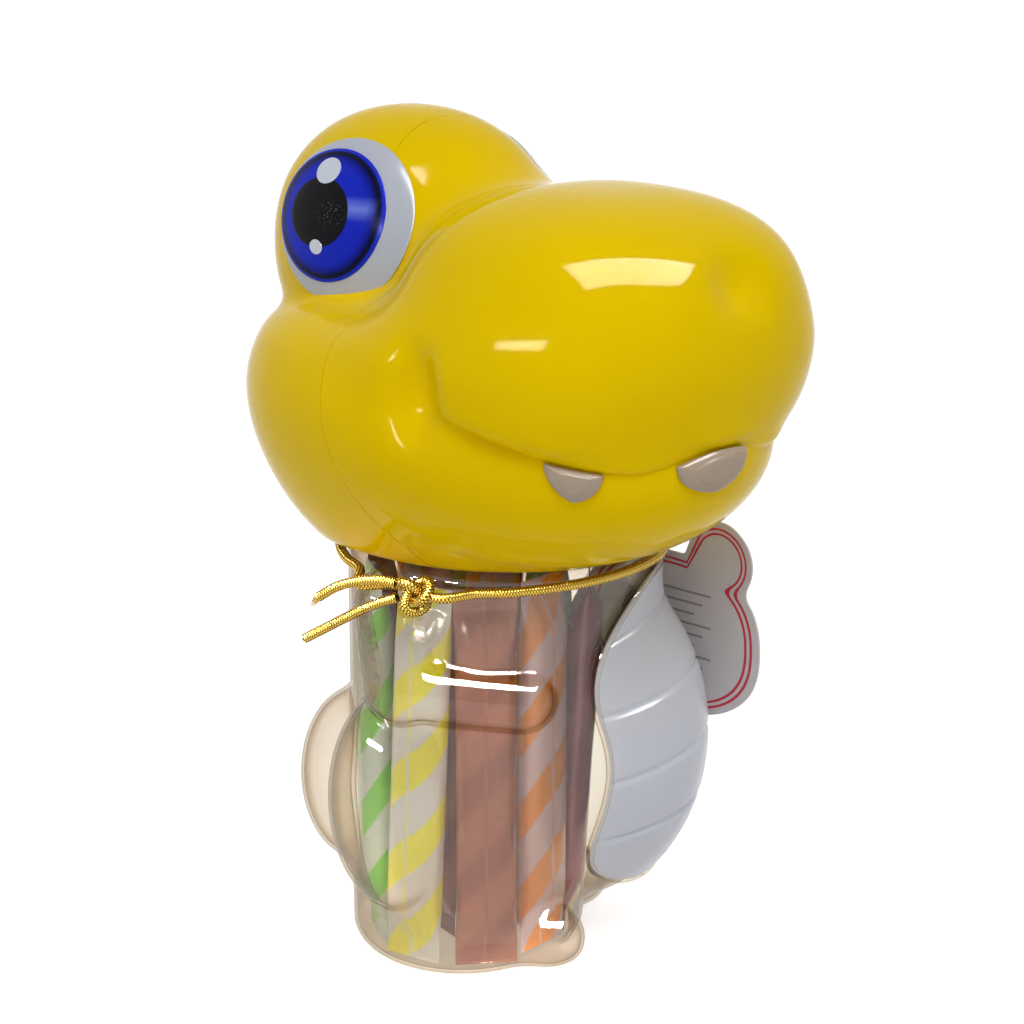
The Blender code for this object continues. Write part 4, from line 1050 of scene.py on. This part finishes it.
def build_disc(name, side, disc, material, rings=DISC_RINGS, sides=DISC_SIDES):
    """Thin oval disc that follows the eye's bed, with a rounded edge and a print that holds its place."""
    turn, rise, half_width, half_height, seat, thickness = disc
    centre = EYE_LOBE[0]
    axis = look_towards(turn, rise, side)
    across = unit(np.cross(axis, UP)) * side
    upright = unit(UP - axis * axis[2])
    shares = shares_to_rim(DISC_FIRST_RING, rings)
    bearing = turn_angles(sides)
    around = bearing[None, :, None]
    sideways = np.tan(half_width * shares) * np.cos(around) * across
    directions = unit(axis + (sideways + np.tan(half_height * shares) * np.sin(around) * upright))
    skin = cast(eye_bed, centre, directions, HEAD_REACH)
    crown = DISC_EDGE + (1 - DISC_EDGE) * np.sqrt(1 - shares**DISC_FLATNESS)
    rows = laid_on(eye_bed, skin, seat, thickness * crown)
    middle = cast(eye_bed, centre, axis[None], HEAD_REACH)
    middle = on_head(middle + outward(eye_bed, middle) * (seat + thickness))[0]
    radius = np.concatenate([np.repeat(shares.ravel(), sides), np.ones(sides), [0, 1]])
    bearings = np.concatenate([np.tile(bearing, rings + 1), [0, 0]])
    uv = 0.5 + 0.5 * radius[:, None] * np.stack([np.cos(bearings), np.sin(bearings)], axis=-1)
    return ring_piece(name, rows, [middle, rows[-1].mean(axis=0)], material, "head", uv)


def build_eyes(white, foil, ink, glint):
    """White plates, foil irises, pupils and printed glints."""
    for hand, side in (("right", -1), ("left", 1)):
        plate = build_disc(f"eye_plate_{hand}", side, EYE_DISC, white)
        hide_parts(f"eye_{hand}")
        iris = build_disc(f"iris_print_{hand}", side, IRIS_DISC, foil)
        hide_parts(f"iris_{hand}")
        build_disc(f"pupil_{hand}", side, PUPIL_DISC, ink)
        for number, disc in enumerate(GLINT_DISCS, start=1):
            name = f"glint_{number}_{hand}"
            build_disc(name, side, disc, glint, GLINT_RINGS, GLINT_SIDES)


def build_tooth(name, side, turn, width, drop, material):
    """Blunt tooth lying on the jaw, hanging from the lip's edge, with a flat panel raised on its face."""
    facing = look_towards(turn, 0.0, side)
    across = np.array([-facing[1], facing[0], 0])
    turns = turn_angles(TOOTH_SIDES)
    downward = np.maximum(-np.sin(turns), 0)
    fullness = np.where(downward > 0, TOOTH_TIP_POWER, 1.0)
    sideways = signed_power(np.cos(turns), fullness) * width / 2
    core = facing * TOOTH_CORE + sideways[:, None] * across
    at_lip = cast(head_form, core + UP * LIP_HEIGHT, facing, HEAD_REACH)
    top = lip_height(at_lip[:, 1]) - TOOTH_TUCK
    outline = core + UP * (top - drop * downward)[:, None]
    middle = facing * TOOTH_CORE + UP * (top.mean() - TOOTH_MIDDLE_SHARE * drop)
    shares = shares_to_rim(TOOTH_FIRST_RING, TOOTH_RINGS)
    skin = cast(head_form, middle + (outline - middle) * shares, facing, HEAD_REACH)
    panel = TOOTH_PANEL_STEP * smooth_step((TOOTH_PANEL_SHARE - shares) / TOOTH_PANEL_EDGE)
    crown = (TOOTH_THICKNESS - TOOTH_PANEL_STEP - TOOTH_EDGE) * np.sqrt(1 - shares**TOOTH_FLATNESS)
    rows = laid_on(head_form, skin, TOOTH_SEAT, TOOTH_EDGE + crown + panel)
    poles = [rows[0].mean(axis=0), rows[-1].mean(axis=0)]
    made = ring_piece(f"{name}_enamel", rows, poles, material, "head")
    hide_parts(name)


def frames_along(route):
    """Two unit vectors square to a route at each of its points, with no twist."""
    heading = unit(np.gradient(route, axis=0))
    side = np.cross(heading[0], NEARLY_UP)
    sides = []
    for direction in heading:
        side = unit(side - direction * (side @ direction))
        sides.append(side)
    sides = np.array(sides)
    return sides, np.cross(heading, sides)


def tube_skin(route, radius, sides):
    """Skin of a round tube along a route, whose radius may change from point to point."""
    first, second = frames_along(route)
    around = turn_angles(sides)[None, :, None]
    spread = first[:, None] * np.cos(around) + second[:, None] * np.sin(around)
    rows = route[:, None] + spread * np.broadcast_to(radius, (len(route), sides))[..., None]
    return skin_of_rings(list(rows), [route[0], route[-1]]), tube_faces(len(route), sides)


def evenly(route, step):
    """Points at equal steps along a route."""
    lengths = np.concatenate([[0], np.cumsum(np.linalg.norm(np.diff(route, axis=0), axis=-1))])
    stops = np.linspace(0, lengths[-1], math.ceil(lengths[-1] / step) + 1)
    return np.stack([np.interp(stops, lengths, route[:, i]) for i in range(3)], axis=-1), stops


def build_braid(name, route, material):
    """Braided cord along a route: two families of threads wound opposite ways over each other."""
    points, along = evenly(route, BRAID_STEP)
    around = turn_angles(BRAID_SIDES)[None]
    wind = 2 * math.pi * along[:, None] / BRAID_PITCH
    right = np.abs(np.sin(BRAID_STRANDS * (around + wind) / 2))
    left = np.abs(np.sin(BRAID_STRANDS * (around - wind) / 2))
    over = np.sqrt(right * left)
    skin, faces = tube_skin(points, CORD_RADIUS * (1 - BRAID_DEPTH * (1 - over)), BRAID_SIDES)
    height = np.concatenate([over.ravel(), [0, 0]])
    return piece(name, skin, faces, material, "jar", np.stack([height, height], axis=-1))


def tag_axes():
    """Unit vectors of the tag: along its hinge towards the front, and out from the jar."""
    return -level_vector(TAG_TURN), level_vector(TAG_TURN - math.pi / 2)


def tag_hinge():
    """Middle of the tag's hole."""
    along, out = tag_axes()
    offset = JAR_RADIUS + CORD_RADIUS + CORD_STAND_OFF + CORD_RADIUS + GAP + TAG_THICKNESS
    return along * TAG_SETBACK + out * offset + UP * (CORD_HEIGHT - TAG_SAG)


def knot_frame():
    """The knot's middle, against the jar's shoulder, and its backward and outward directions."""
    out = level_vector(KNOT_TURN)
    back = level_vector(KNOT_TURN - math.pi / 2)
    axis = UP * (CORD_HEIGHT - KNOT_SAG)
    middle = cast(jar_form, axis, out[None], 2 * JAR_RADIUS, -(KNOT_RADIUS + GAP))[0]
    return middle, back, out


def turn_between(first, second):
    """Smallest turn between two directions."""
    return abs((first - second + math.pi) % (2 * math.pi) - math.pi)


def cord_on_jar(start, end):
    """Points of the cord's middle where it lies on the jar, drooping to its knot and to the tag."""
    turn = np.linspace(start, end, math.ceil((end - start) / CORD_STEP) + 1)
    to_knot = turn_between(turn, KNOT_TURN) / KNOT_SAG_SPREAD
    to_tag = turn_between(turn, TAG_TURN - math.pi / 2) / TAG_SAG_SPREAD
    height = CORD_HEIGHT - KNOT_SAG * np.exp(-(to_knot**2)) - TAG_SAG * np.exp(-(to_tag**2))
    off_wall = CORD_RADIUS + CORD_STAND_OFF
    return list(cast(jar_form, UP * height[:, None], level_vector(turn), 2 * JAR_RADIUS, -off_wall))


def smooth_route(points, pieces=24):
    """Points along a smooth curve through a route's own points."""
    ends = [2 * points[0] - points[1], *points, 2 * points[-1] - points[-2]]
    route = []
    for before, start, end, after in zip(ends, ends[1:], ends[2:], ends[3:]):
        for share in np.arange(pieces) / pieces:
            bend = 2 * start - 2 * end + (end - before) / 2 + (after - start) / 2
            lift = 3 * (end - start) - (end - before) - (after - start) / 2
            route.append(start + share * (end - before) / 2 + share**2 * lift + share**3 * bend)
    return np.array(route + [points[-1]])


def build_neck_cord(material):
    """Cord from one side of the knot, round the shoulder and through the tag, to the knot's other side."""
    along, out = tag_axes()
    hinge = tag_hinge()
    thread = [hinge + along * ahead + out * off for ahead, off in THREAD_OFFSETS]
    knot, back, off_jar = knot_frame()
    end = KNOT_RADIUS + KNOT_BLEND
    entry = knot - off_jar * CORD_RETURN_INSET + UP * CORD_RETURN_RISE
    first = [knot - back * end / 2, knot - back * (end + 2 * CORD_RADIUS)]
    last = [entry + back * (end + 2 * CORD_RADIUS), entry + back * end / 2]
    tag = TAG_TURN - math.pi / 2 + 2 * math.pi
    to_tag = cord_on_jar(KNOT_TURN + KNOT_SPAN, tag - THREAD_LEAVES)
    from_tag = cord_on_jar(tag, KNOT_TURN + 2 * math.pi - KNOT_SPAN)
    route = smooth_route(first + to_tag + thread + from_tag + last)
    made = build_braid("braided_neck_cord", route, material)
    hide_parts("neck_cord")


def build_knot(material):
    """Overhand knot: three tight turns of the cord through each other."""
    middle, back, out = knot_frame()
    turn = np.linspace(0, 2 * math.pi, KNOT_POINTS)[:, None]
    across = np.sin(turn) + 2 * np.sin(2 * turn)
    upright = np.cos(turn) - 2 * np.cos(2 * turn)
    depth = -np.sin(3 * turn)
    width = KNOT_FULLNESS * (KNOT_RADIUS - CORD_RADIUS) / 3
    route = middle + width * (across * back + upright * UP) + KNOT_WEAVE * depth * out
    made = build_braid("tied_knot", route, material)
    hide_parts("cord_knot")


def build_cord_end(name, node, offsets, material, frayed):
    """Loose end of the cord, by its own points from the knot's middle: back, out and up."""
    middle, back, out = knot_frame()
    route = smooth_route([middle + back * a + out * b + UP * c for a, b, c in offsets])
    made = build_braid(name, route, material)
    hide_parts(node)
    strands = build_fray(f"{name}_fray", route, material, frayed)


def build_fray(name, route, material, length):
    """Loose threads at the cut end of the cord."""
    tip = route[-1]
    heading = unit(tip - route[-TIP_POINTS])
    side = unit(np.cross(heading, UP))
    rise = np.cross(side, heading)
    share = np.linspace(0, 1, FRAY_POINTS)[:, None]
    droop = -UP * length * FRAY_DROOP * share**2
    skins = []
    faces = []
    count = 0
    for turn in turn_angles(FRAY_THREADS):
        spread = (math.cos(turn) * side + math.sin(turn) * rise) * CORD_RADIUS
        run = length * (FRAY_SHORTEST + (1 - FRAY_SHORTEST) * math.sin(3 * turn) ** 2)
        path = tip - heading * MM + spread * (FRAY_SPREAD - FRAY_CLOSING * share) + heading * run * share
        skin, quads = tube_skin(path + droop, FRAY_RADIUS * (FRAY_TAPER - share), FRAY_SIDES)
        skins.append(skin)
        faces += [tuple(corner + count for corner in quad) for quad in quads]
        count += len(skin)
    points = np.concatenate(skins)
    return piece(name, points, faces, material, "jar", np.full((count, 2), FRAY_SHADE))


def build_tag(material, ink, rule):
    """Card with its hole, a double printed outline and plain rules."""
    along, out = tag_axes()
    hinge = tag_hinge()
    cos, sin = math.cos(TAG_LEAN), math.sin(TAG_LEAN)
    axes = np.stack([along, out * cos + UP * sin, UP * cos - out * sin])
    turn = turn_angles(TAG_COLUMNS)
    directions = np.stack([np.cos(turn), 0 * turn, np.sin(turn)], axis=-1)
    centre, half = TAG_BODY[:2]
    middle = np.array([centre[0], 0, centre[1] + half[1] / 3])

    def placed(points):
        return points @ axes + hinge

    def outline(inset):
        return cast(tag_form, middle, directions, 3 * half[0], inset)

    bm = bmesh.new()
    edges = []
    for ring in (outline(0.0), directions[::TAG_HOLE_STEP] * TAG_HOLE_RADIUS):
        corners = [bm.verts.new(point - np.array([0, TAG_THICKNESS / 2, 0])) for point in ring]
        edges += [bm.edges.new((a, b)) for a, b in zip(corners, corners[1:] + corners[:1])]
    bmesh.ops.triangle_fill(bm, edges=edges, use_beauty=True, normal=(0, 1, 0))
    raised = bmesh.ops.extrude_face_region(bm, geom=bm.faces[:])["geom"]
    moved = [part for part in raised if isinstance(part, bmesh.types.BMVert)]
    bmesh.ops.translate(bm, verts=moved, vec=(0, TAG_THICKNESS, 0))
    for vertex in bm.verts:
        vertex.co = placed(np.array(vertex.co))
    mesh = bpy.data.meshes.new("tag_card")
    bm.to_mesh(mesh)
    bm.free()
    made = finish_piece("tag_card", mesh, material, "tag")
    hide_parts("hang_tag")
    print_y = TAG_THICKNESS / 2 + PRINT_STAND_OFF
    for number, inset in enumerate(TAG_LINE_INSETS, start=1):
        rings = np.concatenate([outline(inset), outline(inset + TAG_LINE_WIDTH)])
        for face, side in (("front", 1), ("back", -1)):
            points = placed(rings + np.array([0, side * print_y, 0]))
            name = f"tag_outline_{number}_{face}"
            piece(name, points, grid_faces(2, TAG_COLUMNS), ink, "tag")
    for number in range(RULE_COUNT):
        half_length = RULE_HALF_LENGTH - RULE_SHORTENING * (number % 3)
        x = RULE_START[0] + half_length * np.array([-1, 1, 1, -1])
        z = RULE_START[1] - number * RULE_PITCH + RULE_WIDTH * np.array([0, 0, 1, 1])
        corners = np.stack([x, 0 * x - print_y, z], axis=-1)
        piece(f"tag_rule_{number + 1}", placed(corners), [(0, 1, 2, 3)], rule, "tag")


def build_stick(number, turn, material):
    """Wrapped stick: a filled film tube with ribbed, saw-cut crimps. The print runs round and up it."""
    node = f"candy_stick_{number:02d}"
    low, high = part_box(node)
    foot = np.array([(low.x + high.x) / 2, (low.y + high.y) / 2, low.z])
    out = level_vector(turn)
    along = level_vector(turn + math.pi / 2)
    crimp = np.linspace(0, 1, CRIMP_ROWS) * STICK_CRIMP_LENGTH
    shoulder = STICK_CRIMP_LENGTH + np.linspace(0, 1, SHOULDER_ROWS)[1:] * 2 * STICK_SHOULDER
    end = np.concatenate([crimp, shoulder])
    between = np.linspace(end[-1], STICK_LENGTH - end[-1], STICK_ROWS)[1:-1]
    heights = np.concatenate([end, between, STICK_LENGTH - end[::-1]])[:, None]
    to_end = np.minimum(heights, STICK_LENGTH - heights)
    past_crimp = (to_end - STICK_CRIMP_LENGTH) / STICK_SHOULDER
    fill = smooth_step(past_crimp / STICK_FILL)
    around = turn_angles(STICK_SIDES)[None]
    pinched = CRIMP_PINCH * STICK_CRIMP_HALF_DEPTH
    half_width = STICK_HALF_WIDTH - STICK_CRIMP_HALF_DEPTH * fill
    half_depth = pinched + (STICK_HALF_DEPTH - pinched) * np.sqrt(fill)
    gather = np.exp(-(past_crimp**2)) * (past_crimp > 0)
    pleat = 1 - PLEAT_DEPTH * gather * (0.5 + 0.5 * np.sin(PLEAT_COUNT * around + number))
    rib = RIB_DEPTH * np.sin(2 * math.pi * to_end / RIB_PITCH) * (past_crimp < 0)
    slack = 1 + SLACK_DEPTH * np.sin(heights * SLACK_RATE + number + 2 * around)
    across = signed_power(np.cos(around), STICK_FOLD) * half_width
    deep = (half_depth * pleat * slack + rib) * signed_power(np.sin(around), STICK_FOLD)
    deep = np.clip(deep, -STICK_HALF_DEPTH, STICK_HALF_DEPTH)
    saw = SAW_DEPTH * np.abs((across / SAW_HALF_PITCH) % 2 - 1) * (to_end < SAW_REACH)
    level = heights + np.where(heights < STICK_LENGTH / 2, saw, -saw)
    rise = UP + STICK_LEANS.get(number, 0 * UP) / STICK_LENGTH
    rows = foot + across[..., None] * along + deep[..., None] * out + level[..., None] * rise
    u = ((0.25 - around / (2 * math.pi)) % 1 - 0.25) * STICK_GIRTH + 0 * level
    uv = np.stack([u, level + STRIPE_SHIFT * number], axis=-1).reshape(-1, 2)
    uv = np.concatenate([uv, [[0, 0], [0, STICK_LENGTH]]])
    poles = [rows[0].mean(axis=0), rows[-1].mean(axis=0)]
    made = ring_piece(f"{node}_wrapper", rows, poles, material, "jar", uv)
    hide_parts(node)


def build_sticks():
    """Ring of wrapped sticks along the wall and a few in the middle."""
    films = [(f"{taste}_film", film(f"{taste}_print", *look)) for taste, look in FILMS.items()]
    inner = turn_angles(INNER_STICKS) + math.pi / INNER_STICKS
    turns = STICK_RING_START + np.concatenate([turn_angles(OUTER_STICKS), inner])
    for number, turn in enumerate(turns, start=1):
        slot, material = films[(number + 1) % len(films)]
        build_stick(number, turn, material)


def seen_share(graph):
    """1 for rays from the camera or off gloss and glass, 0 for the rest."""
    rays = graph.nodes.new("ShaderNodeLightPath").outputs
    seen = graph.math("MAXIMUM", rays["Is Camera Ray"], rays["Is Glossy Ray"])
    return graph.math("MAXIMUM", seen, rays["Is Transmission Ray"])


def build_stage():
    """White floor that runs out of sight, with the object's soft shadow on it."""
    mesh = bpy.data.meshes.new("floor")
    corners = [(x * FLOOR_REACH, y * FLOOR_REACH, 0) for x, y in ((-1, -1), (1, -1), (1, 1), (-1, 1))]
    mesh.from_pydata(corners, [], [(0, 1, 2, 3)])
    look = Look("floor_paper", (0.8, 0.8, 0.8), 0.9)
    look.feed("Specular IOR Level", 0.0)
    look.feed("Emission Color", (*WHITE, 1))
    look.feed("Emission Strength", look.math("MULTIPLY", seen_share(look), FLOOR_GLOW))
    mesh.materials.append(look.material)
    floor = add_object("floor", mesh)
    floor.location.z = -FLOOR_DROP


def build_light():
    """Even white surroundings, a soft lamp for shape, and a bright window and strip for the gloss."""
    world = bpy.data.worlds.new("studio")
    bpy.context.scene.world = world
    world.use_nodes = True
    sky = Graph(world.node_tree)
    background = sky.nodes["Background"]
    sky.plug(background.inputs["Color"], (*WHITE, 1))
    sky.plug(background.inputs["Strength"], sky.spread(seen_share(sky), SKY_STRENGTH, 1.0))
    for name, (place, turns, width, height, power, is_matte) in LAMPS.items():
        light = bpy.data.lights.new(name, "AREA")
        light.shape = "RECTANGLE"
        light.size = width
        light.size_y = height
        light.energy = power
        lamp = add_object(name, light)
        lamp.location = place
        lamp.rotation_euler = np.radians(turns)
        lamp.visible_diffuse = is_matte
        lamp.visible_glossy = not is_matte


def build_camera():
    """Camera at the photograph's angle."""
    camera = bpy.data.cameras.new("camera")
    camera.sensor_width = SENSOR_WIDTH
    camera.lens = SENSOR_WIDTH * VIEW_FOCAL
    made = add_object("camera", camera)
    away = look_towards(VIEW_AZIMUTH, VIEW_ELEVATION)
    made.location = VIEW_TARGET + away * VIEW_DISTANCE
    made.rotation_euler = Vector(-away).to_track_quat("-Z", "Y").to_euler()
    bpy.context.scene.camera = made


def dress_node(frame, node, material):
    """Give a solid that shows as it is a finished material."""
    slots = frame["nodes"][node].data.materials
    slots.clear()
    slots.append(material)


def main():
    """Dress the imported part."""
    for left_over in list(bpy.data.objects):
        bpy.data.objects.remove(left_over)
    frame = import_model()
    bpy.context.scene.view_settings.view_transform = "Standard"
    build_camera()
    gold = gold_braid("gold_braid")
    build_cord_end("braided_end_upper", "cord_end_upper", UPPER_END, gold, UPPER_FRAY)
    build_cord_end("braided_end_lower", "cord_end_lower", LOWER_END, gold, LOWER_FRAY)
    build_neck_cord(gold)
    build_knot(gold)
    clear = clear_plastic("clear_plastic_wall")
    build_jar(clear)
    build_belly_plate(gloss_plastic("plate_white"), clear)
    build_head(gloss_plastic("head_yellow"))
    white = gloss_plastic("eye_white")
    build_eyes(white, iris_foil("iris_blue"), pupil_ink("pupil_black"), gloss_plastic("glint_white"))
    enamel = gloss_plastic("tooth_enamel")
    for name, tooth in TEETH.items():
        build_tooth(name, *tooth, enamel)
    build_tag(*(card(name, colour) for name, colour in CARDS.items()))
    build_sticks()
    dress_node(frame, "inner_cap", matte_plastic("cap_white", (0.75, 0.75, 0.75), roughness=0.4))
    dress_node(frame, "lid_seal", matte_plastic("seal_white", (0.8, 0.8, 0.77), roughness=0.8))
    build_stage()
    build_light()
    bpy.context.view_layer.update()


main()
